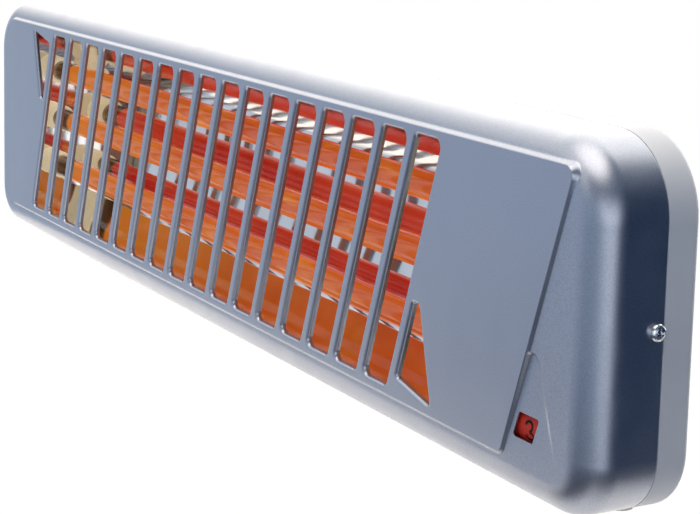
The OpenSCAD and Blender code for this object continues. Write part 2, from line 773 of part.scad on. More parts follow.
module neutral_lead() {
  // From the common link, under the shield, to the terminal block
  turn_x = right_x + 6;
  color("#3F6FB0") lead([at(link_x - link_t / 2, lead_z, tube_h - link_half),
    at(link_x - link_t / 2, lead_z, lead_h), at(turn_x, lead_z, lead_h),
    at(turn_x, block_z[0] + 3, way_h), at(block_x[0], block_z[0] + 3, way_h)], lead_d);
}
module element_leads() {
  // One from each right-hand nut to the switch
  eyelet_x = right_x + nut_t + lead_d / 2 + slide;
  color("#E8E3D2") for (i = [0:2]) {
    z = tube_zs[i];
    bend_z = max(z + lead_rise, axis_z + switch_half + 2 * lead_d);
    run_x = switch_x0 + lead_d + i * lead_step;
    run_h = block_h[1] + lead_d + i * lead_step;
    lead([at(eyelet_x, z + stud_d, tube_h), at(eyelet_x, bend_z, tube_h), at(eyelet_x, bend_z, run_h),
      at(run_x, bend_z, run_h), at(run_x, axis_z + switch_half, run_h)], lead_d);
  }
}
module supply_leads() {
  // From the terminal block to the cut-out and on to the switch
  color("#7A4A2A") {
    up_x = block_x[0] + lead_d;
    lead([at(up_x, block_z[1], way_h), at(up_x, cutout_z, way_h), at(up_x, cutout_z, tube_h),
      at(cutout_x + cutout_l, cutout_z, tube_h)], lead_d);
    down_x = way_x(block_ways - 1) - 2 * lead_d;
    low_z = block_z[0] - lead_rise / 2 - lead_d / 2;
    end_x = switch_x0 + switch_w - lead_d;
    end_h = axis_h - switch_half + 2 * lead_d;
    lead([at(down_x, block_z[0], way_h), at(down_x, low_z, way_h), at(end_x, low_z, way_h),
      at(end_x, low_z, end_h), at(end_x, axis_z + switch_half, end_h)], lead_d);
  }
}

// ---------------------------------------------------------------- terminals and cable

module thermal_cutout() {
  // A snap disc in a round case on the right end plate
  case_end = cutout_x + 0.6 * cutout_l;
  disc_end = cutout_x + 0.85 * cutout_l;
  color("#2B2B2E") union() {
    rod_x(cutout_d, [cutout_x, case_end], cutout_z, tube_h);
    rod_x(cutout_d - 3, [case_end - eps, disc_end], cutout_z, tube_h);
    block([disc_end - eps, cutout_x + cutout_l], [cutout_z - lead_d, cutout_z + lead_d],
      [tube_h - cutout_blade, tube_h + cutout_blade]);
  }
}

function way_x(i) = block_x[0] + way_pitch * (i + 0.5);
module terminal_block() {
  color("#F1EFE6") difference() {
    block(block_x, block_z, block_h);
    for (i = [0:block_ways - 1]) {
      // Wire ways through, and two screw wells on each
      rod_z(lead_d + 1.2, way_x(i), [block_z[0] - eps, block_z[1] + eps], way_h);
      for (z = well_zs) rod_h(well_d, way_x(i), z, [well_h, block_h[1] + eps]);
    }
    rod_h(small_screw_d + 2 * run, block_screw_x, block_screw_z, [block_h[0] - eps, block_h[1] + eps]);
    for (i = [1:block_ways - 1])
      block([block_x[0] + i * way_pitch - 0.6, block_x[0] + i * way_pitch + 0.6],
        [block_z[0] - eps, block_z[0] + 2], [block_h[0] + 3, block_h[1] + eps]);
  }
}
module terminal_block_screws() {
  color(steel) {
    for (i = [0:block_ways - 1], z = well_zs) rod_h(well_d - free, way_x(i), z, [well_h, well_h + 3]);
    translate(at(block_screw_x, block_screw_z, block_h[1])) rotate([90, 0, 0])
      pan_screw(small_screw_d + 2.4, small_screw_d, block_h[1] - block_h[0] + housing_t);
  }
}

module cable_gland() {
  // A rubber bush held in the housing's back by two flanges
  color("#2A2C30") difference() {
    union() {
      rod_h(gland_flange_d, gland_x, gland_z, [wall_gap - 3, wall_gap]);
      rod_h(gland_neck_d, gland_x, gland_z, [wall_gap - eps, floor_h + eps]);
      rod_h(gland_flange_d - 1, gland_x, gland_z, [floor_h, floor_h + 2.5]);
    }
    rod_h(cable_d + 0.4, gland_x, gland_z, [wall_gap - 5, floor_h + 5]);
  }
}

module clamp_screw_places() {
  for (s = [-1, 1]) translate([gland_x + s * clamp_screw_x, 0, clamp_z]) children();
}
module cord_clamp() {
  // A saddle that presses the cable to the floor
  top_h = floor_h + clamp_t;
  body_z = [clamp_z - clamp_t, clamp_z + clamp_t];
  cut_z = [clamp_z - clamp_t - eps, clamp_z + clamp_t + eps];
  color("#3A3C40") difference() {
    union() {
      block([gland_x - clamp_half, gland_x + clamp_half], body_z, [floor_h, top_h]);
      rod_z(cable_d + 4, gland_x, body_z, top_h);
    }
    rod_z(cable_d + free, gland_x, cut_z, top_h);
    block([gland_x - cable_d, gland_x + cable_d], cut_z, [wall_gap - cable_d, floor_h]);
    block([gland_x - (cable_d + free) / 2, gland_x + (cable_d + free) / 2], cut_z, [floor_h - eps, top_h]);
    clamp_screw_places() rod_h(small_screw_d + 2 * run, 0, 0, [floor_h - eps, top_h + eps]);
  }
}
module clamp_screws() {
  color(steel) clamp_screw_places() translate(at(0, 0, floor_h + clamp_t)) rotate([90, 0, 0])
    pan_screw(small_screw_d + 2, small_screw_d, housing_t + clamp_t);
}

module earth_place() { translate([earth_x, 0, earth_z]) children(); }
module earth_stud() {
  color("#C9A24B") earth_place() union() {
    rod_h(stud_m4, 0, 0, [wall_gap, floor_h + 2 * earth_nut_t + 3.6]);
    // A nut, a washer and a nut
    for (h = [floor_h, floor_h + earth_nut_t + earth_washer_t]) translate(at(0, 0, h)) rotate([90, 0, 0])
      cylinder(h = earth_nut_t, d = earth_nut_w / cos(30), $fn = 6);
    rod_h(earth_nut_w + 2, 0, 0, [floor_h + earth_nut_t, floor_h + earth_nut_t + earth_washer_t]);
  }
}

// ---------------------------------------------------------------- pull switch

// The frame: a base on the floor and two walls that carry the shaft
module switch_screw_places() {
  for (z = [frame_z[0] - tab_low / 2, frame_z[1] + tab_high - tab_low / 2])
    translate([window_x, 0, z]) children();
}
module switch_frame() {
  wall_top = axis_h + 5;
  base_top = floor_h + frame_t;
  color("#B9BEC2") difference() {
    union() {
      block([frame_x0 - frame_t, frame_x1 + frame_t], frame_z, [floor_h, base_top]);
      block([window_x - tab_half, window_x + tab_half], [frame_z[0] - tab_low, frame_z[1] + tab_high],
        [floor_h, base_top]);
      for (x = [frame_x0 - frame_t, frame_x1]) block([x, x + frame_t], frame_z, [floor_h, wall_top]);
      // The spring's anchor above the right wall
      block([frame_x1, frame_x1 + frame_t], [axis_z, spring_top_z + 3], [floor_h, spring_h + 3]);
      rod_x(pin_d, [spring_x - spring_d / 2, frame_x1 + eps], spring_top_z, spring_h, lead_fn);
    }
    rod_x(shaft_d + 2 * run, [frame_x0 - 3, frame_x1 + 3], axis_z, axis_h);
    // Room for the lever's tip and the cord below it
    block([lever_x - 1, lever_x + lever_t + 1], [frame_z[0] - eps, eye_z + lever_w],
      [floor_h - eps, base_top + eps]);
    switch_screw_places() rod_h(small_screw_d + 2 * run, 0, 0, [floor_h - eps, base_top + eps]);
  }
}
module switch_screws() {
  color(steel) switch_screw_places() translate(at(0, 0, floor_h + frame_t)) rotate([90, 0, 0])
    pan_screw(small_screw_d + 2, small_screw_d, housing_t + frame_t);
}

// The contact block on the frame's left wall, with blade terminals on top
module switch_body() {
  z = [axis_z - switch_half, axis_z + switch_half];
  h = [axis_h - switch_half, axis_h + switch_front];
  groove_x = switch_x0 + switch_w / 2;
  color("#2E2A28") difference() {
    union() {
      block([switch_x0, frame_x0 - frame_t], z, h);
      for (i = [-1, 0, 1]) translate(at(switch_x0 + blade_x, z[0] - blade_l, axis_h + i * blade_pitch))
        translate([0, -blade_t / 2, 0]) cube([blade_w, blade_t, blade_l + eps]);
    }
    rod_x(shaft_d + 2 * run, [switch_x0 + shaft_blind, frame_x0], axis_z, axis_h);
    // A moulded parting groove round the block
    difference() {
      block([groove_x, groove_x + groove], [z[0] - 1, z[1] + 1], [h[0] - 1, h[1] + 1]);
      block([groove_x - 1, groove_x + 1 + groove], [z[0] + groove, z[1] - groove],
        [h[0] + groove, h[1] - groove]);
    }
  }
}

module switch_shaft() {
  color(steel)
    rod_x(shaft_d, [switch_x0 + shaft_blind + 1, frame_x1 + frame_t + shaft_end], axis_z, axis_h);
}

module indicator_drum() {
  color("#C8281E") difference() {
    rod_x(drum_d, [drum_x0, drum_x1], axis_z, axis_h);
    // Hollow on the left, round the hub
    difference() {
      rod_x(drum_d - 2 * drum_wall, [drum_x0 - eps, drum_x1 - 2], axis_z, axis_h);
      rod_x(hub_d, [drum_x0 - 1, drum_x1], axis_z, axis_h);
    }
    rod_x(shaft_d, [drum_x0 - 1, drum_x1 + 1], axis_z, axis_h);
  }
}

// Ratchet teeth whose steep faces look up on the wall side
function tooth_points() = [for (i = [0:tooth_n - 1]) let (a = i * 360 / tooth_n + tooth_phase)
  each [(ratchet_d / 2) * [cos(a), sin(a)], (ratchet_d / 2 - tooth_h) * [cos(a), sin(a)]]];
module axle_section() { translate([-axis_h, axis_z]) children(); }
module ratchet_wheel() {
  color("#E9E4D8") difference() {
    along([wheel_x, wheel_x + wheel_t]) axle_section() polygon(tooth_points());
    rod_x(shaft_d, [wheel_x - 1, wheel_x + wheel_t + 1], axis_z, axis_h);
    // Holes that take the drum's pegs
    for (i = [0:3]) translate(at(0, axis_z, axis_h)) rotate([i * 90 + 20, 0, 0]) translate(at(0, peg_r, 0))
      rod_x(peg_d, [wheel_x - 1, wheel_x + wheel_t + 1], 0, 0, lead_fn);
  }
}

// The lever turns on the shaft; the cord pulls its eye down
module pull_lever() {
  color("#D9D4C6") difference() {
    union() {
      rod_x(hub_d, [lever_x, lever_x + lever_t], axis_z, axis_h);
      translate(at(0, axis_z, axis_h)) rotate([lever_rise, 0, 0]) {
        block([lever_x, lever_x + lever_t], [-lever_w / 2, lever_w / 2], [-lever_l, 0]);
        rod_x(lever_w, [lever_x, lever_x + lever_t], 0, -lever_l);
        // Pawl post and spring pin
        rod_x(post_d, [wheel_x + 0.1, lever_x + eps], pawl_rise, -pawl_arm, lead_fn);
        block([lever_x, lever_x + lever_t], [0, pawl_rise + pin_d], [-pawl_arm - pin_d, -pawl_arm + pin_d]);
        rod_x(pin_d, [lever_x + eps, spring_x + spring_d / 2], 0, -spring_arm, lead_fn);
      }
    }
    rod_x(shaft_d + 2 * run, [lever_x - 1, lever_x + lever_t + 1], axis_z, axis_h);
    rod_x(eye_d, [lever_x - 1, lever_x + lever_t + 1], eye_z, eye_h);
  }
}
module pawl() {
  // Turns on the lever's post; its nose stands on a tooth's face
  x = [wheel_x + slide, wheel_x + wheel_t - slide];
  color("#B08D3C") translate(at(0, axis_z, axis_h)) rotate([lever_rise, 0, 0]) difference() {
    union() {
      rod_x(2 * post_d, x, pawl_rise, -pawl_arm);
      along(x) polygon([[pawl_arm - 1.9, pawl_rise], [pawl_arm + 1.9, pawl_rise], [pawl_arm - 0.4, 1.2],
        [pawl_arm - 2.6, 0.9]]);
    }
    rod_x(post_d + 2 * run, [wheel_x - 1, wheel_x + wheel_t + 1], pawl_rise, -pawl_arm, lead_fn);
  }
}

// An extension spring between the lever's pin and the frame's pin
spring_coil = [for (i = [0:spring_turns * spring_steps])
  let (a = i * 360 / spring_steps, rise = (spring_z1 - spring_z0) / (spring_turns * spring_steps))
  [spring_r * cos(a), spring_r * sin(a), spring_z0 + rise * i]];
spring_path = concat([[0, 0, spring_low_z + spring_seat], [0, 0, spring_z0 - spring_neck]], spring_coil,
  [[0, 0, spring_z1 + spring_neck], [0, 0, spring_top_z - spring_seat]]);
module tube_along(path, d, sides) {
  n = len(path);
  function dir(i) = let (v = path[min(i + 1, n - 1)] - path[max(i - 1, 0)]) v / norm(v);
  function side(i) = let (v = dir(i), w = cross(v, abs(v[2]) > 0.9 ? [1, 0, 0] : [0, 0, 1])) w / norm(w);
  points = [for (i = [0:n - 1], k = [0:sides - 1])
    let (a = k * 360 / sides, u = side(i), w = cross(dir(i), u))
    path[i] + d / 2 * (u * cos(a) + w * sin(a))];
  faces = concat([[for (k = [0:sides - 1]) k]], [[for (k = [sides - 1:-1:0]) (n - 1) * sides + k]],
    [for (i = [0:n - 2], k = [0:sides - 1]) each let (a = i * sides + k, b = i * sides + (k + 1) % sides)
      [[a, a + sides, b + sides], [a, b + sides, b]]]);
  polyhedron(points, faces);
}
module return_spring() {
  color(steel) translate([spring_x, -spring_h, 0]) tube_along(spring_path, spring_wire, spring_sides);
}

// A leaf on the frame's base that clicks on the teeth from below
module detent_spring() {
  base_h = floor_h + frame_t;
  z1 = axis_z - ratchet_d / 2 - 2 * slide;
  x = [wheel_x, wheel_x + wheel_t];
  color(steel) union() {
    block(x, [z1 - leaf_foot, z1], [base_h, base_h + leaf_t]);
    block(x, [z1 - leaf_t, z1], [base_h, axis_h + leaf_foot]);
  }
}

module pull_bush() {
  // Guides the pull cord out of the housing's underside
  inner = -case_z + cover_t + slide + lip_wall;
  color("#D9D4C6") difference() {
    union() {
      rod_z(bush_flange_d, eye_x, [-case_z - bush_flange_t, -case_z], eye_h);
      rod_z(bush_neck_d, eye_x, [-case_z - eps, inner + bush_flange_t], eye_h);
      rod_z(bush_flange_d - 2, eye_x, [inner + 2 * slide, inner + bush_flange_t], eye_h);
    }
    rod_z(bush_bore_d, eye_x, [-case_z - 2 * bush_flange_t, inner + 2 * bush_flange_t], eye_h);
  }
}

// ---------------------------------------------------------------- bracket and hinge

module ear(x, back_h, tip_h, half_z, bore) {
  // An ear in the YZ plane, round about the pivot
  difference() {
    union() {
      rod_x(2 * ear_r, x, 0, pivot_h);
      block(x, [-ear_r, ear_r], [min(back_h, pivot_h), max(back_h, pivot_h)]);
      block(x, [-half_z, half_z], [min(back_h, tip_h), max(back_h, tip_h)]);
    }
    rod_x(bore, [x[0] - 1, x[1] + 1], 0, pivot_h);
  }
}
module wall_bracket() {
  color("#D5D8DB") difference() {
    union() {
      block([-bracket_x, bracket_x], [-bracket_h / 2, bracket_h / 2], [0, bracket_t]);
      ear([-bracket_x, -bracket_x + bracket_t], 0, bracket_lip, bracket_h / 2, pivot_d);
      ear([bracket_x - bracket_t, bracket_x], 0, bracket_lip, bracket_h / 2, pivot_d);
    }
    for (s = [-1, 1]) rod_h(wall_hole_d, s * wall_hole_pitch / 2, 0, [-eps, bracket_t + eps]);
    // A long lightening cut in the middle
    cut_x = wall_hole_pitch / 2 - 20;
    block([-cut_x, cut_x], [-bracket_h / 4, bracket_h / 4], [-eps, bracket_t + eps]);
  }
}
module hinge_plate() {
  color("#D5D8DB") difference() {
    union() {
      block([-hinge_x, hinge_x], [-hinge_z, hinge_z], [wall_gap - hinge_t, wall_gap]);
      ear([-hinge_x, -hinge_x + hinge_t], wall_gap, wall_gap - 6, hinge_z, pivot_d + 2 * run);
      ear([hinge_x - hinge_t, hinge_x], wall_gap, wall_gap - 6, hinge_z, pivot_d + 2 * run);
    }
    for (x = [-1, 1], z = [-1, 1]) rod_h(small_screw_d + 2 * run, x * hinge_screw_x, z * hinge_screw_z,
      [wall_gap - hinge_t - eps, wall_gap + eps]);
    block([-hinge_screw_x + 18, hinge_screw_x - 18], [-hinge_z / 2, hinge_z / 2],
      [wall_gap - hinge_t - eps, wall_gap + eps]);
  }
}
module hinge_screws() {
  color(steel) for (x = [-1, 1], z = [-1, 1])
    translate(at(x * hinge_screw_x, z * hinge_screw_z, wall_gap - hinge_t)) rotate([-90, 0, 0])
      pan_screw(small_screw_d + 2.4, small_screw_d, hinge_t + housing_t + 1);
}
module pivot_screws() {
  color(steel) for (s = [-1, 1]) translate(at(s * (hinge_x + 0.3), 0, pivot_h)) rotate([0, s * 90, 0])
    pan_screw(pivot_head_d, pivot_d, hinge_x - bracket_x + bracket_t + pivot_nut_t + 1.5);
}
module pivot_nuts() {
  color(steel) for (s = [-1, 1])
    translate(at(s * (bracket_x - bracket_t), 0, pivot_h)) rotate([0, -s * 90, 0])
      hex_nut(pivot_nut_w, pivot_nut_t, pivot_d);
}
module pivot_washers() {
  color("#E9E9E6") for (s = [-1, 1]) mirror([s < 0 ? 1 : 0, 0, 0]) difference() {
    rod_x(2 * ear_r - 4, [bracket_x, bracket_x + washer_t - slide], 0, pivot_h);
    rod_x(pivot_d, [bracket_x - 1, hinge_x], 0, pivot_h);
  }
}

wall_bracket();
pivot_screws();
pivot_nuts();
pivot_washers();
hinge_plate();
hinge_screws();
rear_housing();
front_cover();
cover_screws();
reflector();
end_plate_left();
end_plate_right();
end_plate_screws();
quartz_tube_top();
quartz_tube_middle();
quartz_tube_bottom();
heating_coil_top();
heating_coil_middle();
heating_coil_bottom();
tube_caps_left();
tube_caps_right();
terminal_studs_left();
terminal_studs_right();
common_link();
neutral_lead();
element_leads();
supply_leads();
heat_shield();
thermal_cutout();
terminal_block();
terminal_block_screws();
cable_gland();
cord_clamp();
clamp_screws();
earth_stud();
switch_frame();
switch_screws();
switch_body();
switch_shaft();
indicator_drum();
ratchet_wheel();
pull_lever();
pawl();
return_spring();
detent_spring();
pull_bush();
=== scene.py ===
import json
import math

import bpy
import numpy as np
from mathutils import Matrix, Vector
from mathutils.geometry import delaunay_2d_cdt


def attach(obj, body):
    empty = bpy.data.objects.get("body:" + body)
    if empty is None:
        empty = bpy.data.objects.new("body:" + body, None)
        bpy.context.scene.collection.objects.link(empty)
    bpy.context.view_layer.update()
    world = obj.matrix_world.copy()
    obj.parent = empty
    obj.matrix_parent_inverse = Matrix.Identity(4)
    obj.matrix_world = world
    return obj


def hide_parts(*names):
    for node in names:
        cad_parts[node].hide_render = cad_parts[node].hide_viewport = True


# The electric bar heater's looks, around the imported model. The pieces that the photo shows best are built here
# as meshes in the model's frame. All other CAD nodes stay as they are, and each gets a material.

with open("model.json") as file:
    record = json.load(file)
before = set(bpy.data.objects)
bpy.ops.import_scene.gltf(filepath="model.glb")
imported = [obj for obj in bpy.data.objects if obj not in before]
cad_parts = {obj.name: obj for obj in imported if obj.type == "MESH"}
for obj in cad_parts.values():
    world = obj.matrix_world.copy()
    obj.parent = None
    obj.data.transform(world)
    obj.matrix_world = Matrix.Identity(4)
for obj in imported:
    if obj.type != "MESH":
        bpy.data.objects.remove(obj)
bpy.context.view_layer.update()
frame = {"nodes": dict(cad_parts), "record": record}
scene = bpy.context.scene
nodes = frame["nodes"]
slot_of = {s["node"]: s["material_slot"] for s in frame["record"]["subparts"]}

# ---------------------------------------------------------------- camera
# Fitted to the photo's slots, seam, panel and outlines

IMAGE_W, IMAGE_H = 700, 514
FOCAL_PX = 1883.2
CENTRE_PX = (346.77, 149.70)
SENSOR = 36.0
CAM_PLACE = (0.7364, -0.4249, 0.1468)
CAM_RIGHT = (0.4830, 0.8753, 0.0238)
CAM_UP = (-0.1470, 0.0542, 0.9877)
CAM_BACK = (0.8632, -0.4806, 0.1548)

cam_data = bpy.data.cameras.new("camera")
cam = bpy.data.objects.new("camera", cam_data)
scene.collection.objects.link(cam)
cam_axes = Matrix((CAM_RIGHT, CAM_UP, CAM_BACK)).transposed().to_4x4()
cam.matrix_world = Matrix.Translation(CAM_PLACE) @ cam_axes
cam_data.sensor_width = SENSOR
cam_data.lens = FOCAL_PX / IMAGE_W * SENSOR
cam_data.shift_x = (IMAGE_W / 2 - CENTRE_PX[0]) / IMAGE_W
cam_data.shift_y = (CENTRE_PX[1] - IMAGE_H / 2) / IMAGE_W
scene.camera = cam

# ---------------------------------------------------------------- sizes, in mm, as in the part's source
# A point lies at (x, -h, z), where h is its height above the wall.

# The case, from its middle, and the cover's round front edge and thickness
case_x, case_z = 283, 62.5
corner_top_r, corner_bottom_r = 27, 22
front_r, cover_t = 12, 2
seam_h, border_h = 57, 84
skin_h = border_h - cover_t
seam_rim_r = 0.5
cover_screw_z, cover_screw_h, cover_screw_hole_r = 1.5, 60, 1.9
# The raised panel. As in the photo, its left edge lies further in than the solid's, which is at -268
panel_h = border_h + 1
panel_x0, panel_x1, panel_z0, panel_z1 = -257, 253.2, -49, 54
panel_corner_r, panel_step = 4, 0.8
# The slots, which lean, and the two three-sided openings beside them
lean = 0.35
slot_n, slot_pitch, slot_w, slot_h, slot_r = 17, 22.8, 17.2, 95.5, 2.6
slot_x0, slot_z = -206.7, 2.5
slot_lo, slot_hi = slot_z - slot_h / 2, slot_z + slot_h / 2
bar_w = slot_pitch - slot_w
slot_mid_x = slot_x0 + (slot_pitch * (slot_n - 1) + slot_w) / 2
bar_back_h = panel_h - 2.5
tri_top_w, tri_h, tri_fall, tri_tip_w, tri_r = 23.5, 35, 5, 4, 1.2
slot_lip = 1.5
pocket_margin = 2.5
# The wedge-shaped recess beside the panel. It is deepest at its apex and runs out, by a power, at its foot
wedge_x = panel_x1 - lean * (slot_z - panel_z0)
wedge_foot_z, wedge_apex_z = panel_z0 + 5.3, panel_z0 + 38
wedge_w, wedge_d, wedge_tip_w, wedge_tip_cut = 27.5, 0.9, 5.2, 2
wedge_flare, wedge_under, wedge_below, wedge_power = 1.1, 9, 3, 0.5
recess_r, recess_step = 1.6, 0.9
# The window over the drum, a little wider to the right than the solid's
window_x, window_z, window_w, window_h, window_r = 247.4, -36.5, 10.9, 8.9, 0.8
window_wider, window_lip, window_rim = 0.4, 0.15, 1.5
window_back_h = 83.002
drum_x0, drum_x1, drum_r = 237.2075, 255.0075, 11
axis_h, axis_z = 71.4018, -36.5
# Tubes, coils, caps and the reflector between its end plates
tube_r, tube_bore_r, tube_h = 5.5, 4.3, 65
tube_zs = {"top": 26.7, "middle": 0.7, "bottom": -25.3}
tube_x = (-242, 198)
coil_x = (-214.6, 170.6)
coil_r = 3.4
plate_x = (-250, 206)
sheet_t = 0.8
cap_l, cap_r, cap_in = 28, 7, 20
cap_out = cap_l - cap_in

# ---------------------------------------------------------------- plans


def arc(centre, r, a0, a1, n):
    """Points on an arc from the angle a0 to a1, in degrees, in n steps."""
    a = np.radians(np.linspace(a0, a1, n + 1))
    return np.stack([centre[0] + r * np.cos(a), centre[1] + r * np.sin(a)], 1)


def rounded(points, r, n=6):
    """The points of a convex outline, counterclockwise, with its corners rounded."""
    points = np.asarray(points, float)
    out = []
    for i, p in enumerate(points):
        a, b = points[i - 1], points[(i + 1) % len(points)]
        u, v = (a - p) / np.linalg.norm(a - p), (b - p) / np.linalg.norm(b - p)
        half = math.acos(max(-1, min(1, float(u @ v)))) / 2
        c = p + (u + v) / np.linalg.norm(u + v) * r / math.sin(half)
        s, e = p + u * r / math.tan(half) - c, p + v * r / math.tan(half) - c
        a0 = math.degrees(math.atan2(s[1], s[0]))
        turn = (math.degrees(math.atan2(e[1], e[0])) - a0 + 540) % 360 - 180
        out.append(arc(c, r, a0, a0 + turn, n))
    return np.concatenate(out)


def grown(points, g):
    """A convex outline, counterclockwise, moved outwards by g."""
    points = np.asarray(points, float)
    sides = np.roll(points, -1, 0) - points
    normals = np.stack([sides[:, 1], -sides[:, 0]], 1) / np.linalg.norm(sides, axis=1)[:, None]
    out = []
    for i, p in enumerate(points):
        n0, n1 = normals[i - 1], normals[i]
        out.append(p + (n0 + n1) * g / (1 + float(n0 @ n1)))
    return np.array(out)


def ring(points, r, g=0.0, n=6):
    """A convex outline with its corners rounded by r, then moved outwards by g."""
    return rounded(grown(points, g), r + g, n)


def distance(points, x, z):
    """Signed distance to an outline, below zero inside it."""
    points = np.asarray(points, float)
    best = np.full(x.shape, 1e9)
    inside = np.zeros(x.shape, bool)
    for a, b in zip(points, np.roll(points, -1, 0)):
        e = b - a
        wx, wz = x - a[0], z - a[1]
        t = np.clip((wx * e[0] + wz * e[1]) / float(e @ e), 0, 1)
        best = np.minimum(best, np.hypot(wx - e[0] * t, wz - e[1] * t))
        if e[1]:
            inside ^= ((a[1] > z) != (b[1] > z)) & (x < a[0] + e[0] * (z - a[1]) / e[1])
    return np.where(inside, -best, best)


def leaning(x, z):
    """The point at height z on a slot's edge that crosses the slots' middle line at x."""
    return [x + lean * (z - slot_z), z]


def case_ring(inset, n=16):
    """The case's outline, moved inwards by inset."""
    hx, hz = case_x - inset, case_z - inset
    top_r, bottom_r = corner_top_r - inset, corner_bottom_r - inset
    corners = [(1, 1, top_r, 0), (-1, 1, top_r, 90), (-1, -1, bottom_r, 180), (1, -1, bottom_r, 270)]
    return np.concatenate([arc((s * (hx - r), t * (hz - r)), r, a, a + 90, n) for s, t, r, a in corners])


def case_depth(x, z):
    """How far inside the case's outline a point lies."""
    r = np.where(z > 0, corner_top_r, corner_bottom_r)
    qx, qz = np.abs(x) - (case_x - r), np.abs(z) - (case_z - r)
    return -(np.hypot(np.maximum(qx, 0), np.maximum(qz, 0)) + np.minimum(np.maximum(qx, qz), 0) - r)


panel = [[panel_x0, panel_z0], [wedge_x, panel_z0],
         [panel_x1 + lean * (panel_z1 - slot_z), panel_z1], [panel_x0, panel_z1]]

slots = []
for i in range(slot_n):
    x = slot_x0 + i * slot_pitch
    slots.append([leaning(x, slot_lo), leaning(x + slot_w, slot_lo),
                  leaning(x + slot_w, slot_hi), leaning(x, slot_hi)])
edge = leaning(slot_x0 - bar_w, slot_hi - tri_fall)
tip = leaning(slot_x0 - bar_w, slot_hi - tri_h)
end_left = np.array([tip, edge, [edge[0] - tri_top_w, slot_hi], [tip[0] - tri_tip_w, tip[1]]])
end_right = 2 * np.array([slot_mid_x, slot_z]) - end_left
grille = [(s, slot_r) for s in slots] + [(end_left, tri_r), (end_right, tri_r)]

wx, wz = window_w / 2, window_h / 2
window = [[window_x + s * wx + max(s, 0) * window_wider + t * lean * wz, window_z + t * wz]
          for s, t in ((-1, -1), (1, -1), (1, 1), (-1, 1))]

# Pockets behind the grille and behind the window, where the cover is thin
p_lo, p_hi = slot_lo - pocket_margin, slot_hi + pocket_margin
p_left = slot_x0 - bar_w - tri_top_w - pocket_margin
p_right = 2 * slot_mid_x - p_left
pocket = np.array([leaning(p_left + tri_top_w, p_lo), [p_right, p_lo],
                   leaning(p_right - tri_top_w, p_hi), [p_left, p_hi]])
w_left, w_right = drum_x0 - window_rim, drum_x1 + window_rim
w_lo, w_hi = window_z - wz - window_rim, window_z + wz + window_rim
window_pocket = np.array([[w_left, w_lo], [w_right, w_lo], [w_right, w_hi], [w_left, w_hi]])


def beside_panel(z):
    """The point at height z on the line of the panel's right edge."""
    return np.array([wedge_x + lean * (z - panel_z0), z])


# The recess's outline goes on under the panel and below its foot, so only its top and its right edge count
apex, foot = beside_panel(wedge_apex_z), beside_panel(wedge_foot_z)
under = np.array([-wedge_under, 0])
recess = np.array([foot + under + [0, -wedge_below], foot + [wedge_w + wedge_flare, -wedge_below],
                   foot + [wedge_w, 0], apex + [wedge_tip_w, -wedge_tip_cut],
                   apex + [wedge_tip_w - wedge_tip_cut, 0], apex + under])


def soft_step(t):
    t = np.clip(t, 0, 1)
    return t * t * (3 - 2 * t)


def within(outline, r, step, x, z):
    """1 inside a rounded outline and 0 outside it, with a soft step as far as step to each side of it."""
    away = distance(grown(outline, -r), x, z) - r
    return soft_step((step - away) / (2 * step))


def cover_height(x, z):
    """Height of the cover's outer face above the wall."""
    inward = np.maximum(front_r - case_depth(x, z), 0)
    border = border_h - front_r + np.sqrt(np.maximum(front_r ** 2 - inward ** 2, 0))
    on_panel = within(panel, panel_corner_r, panel_step, x, z)
    in_recess = within(recess, recess_r, recess_step, x, z)
    rise = np.clip((z - wedge_foot_z) / (wedge_apex_z - wedge_foot_z), 0, 1)
    deep = wedge_d * rise ** wedge_power
    return border + (panel_h - border) * on_panel - deep * in_recess * (1 - on_panel)


def skin_height(x, z):
    """Height of the cover's inner face."""
    inward = np.maximum(front_r - case_depth(x, z), 0)
    r = front_r - cover_t
    return skin_h - r + np.sqrt(np.maximum(r ** 2 - inward ** 2, 0))


def slopes(height, p, step=0.02):
    """Unit normals, as x, h and z, of a height above the plan at the points p."""
    x, z = p[:, 0], p[:, 1]
    dx = (height(x + step, z) - height(x - step, z)) / (2 * step)
    dz = (height(x, z + step) - height(x, z - step)) / (2 * step)
    n = np.stack([-dx, np.ones(len(x)), -dz], 1)
    return n / np.linalg.norm(n, axis=1)[:, None]


def fill(outline, holes=(), lines=(), points=()):
    """Triangles between an outline and its holes, with lines kept as edges and points as corners.

    Returns the triangles' points and the triangles.
    """
    verts, edges = [], []
    for loop in [outline, *holes, *lines]:
        base = len(verts)
        verts += [Vector(p) for p in loop]
        edges += [(base + i, base + (i + 1) % len(loop)) for i in range(len(loop))]
    verts += [Vector(p) for p in points]
    found, _, faces, *_ = delaunay_2d_cdt(verts, edges, [], 0, 1e-6)
    found = np.array([list(v) for v in found])
    faces = np.array(faces)
    middle = found[faces].mean(1)
    keep = distance(outline, middle[:, 0], middle[:, 1]) < 0
    for hole in holes:
        near = keep & (middle[:, 0] > np.min(hole, 0)[0]) & (middle[:, 0] < np.max(hole, 0)[0])
        keep[near] &= distance(hole, middle[near, 0], middle[near, 1]) > 0
    return found, faces[keep]


# ---------------------------------------------------------------- meshes


def placed(p, h):
    """Plan points at a height, as x, h and z."""
    p = np.asarray(p, float)
    return np.stack([p[:, 0], np.broadcast_to(h, len(p)).astype(float), p[:, 1]], 1)


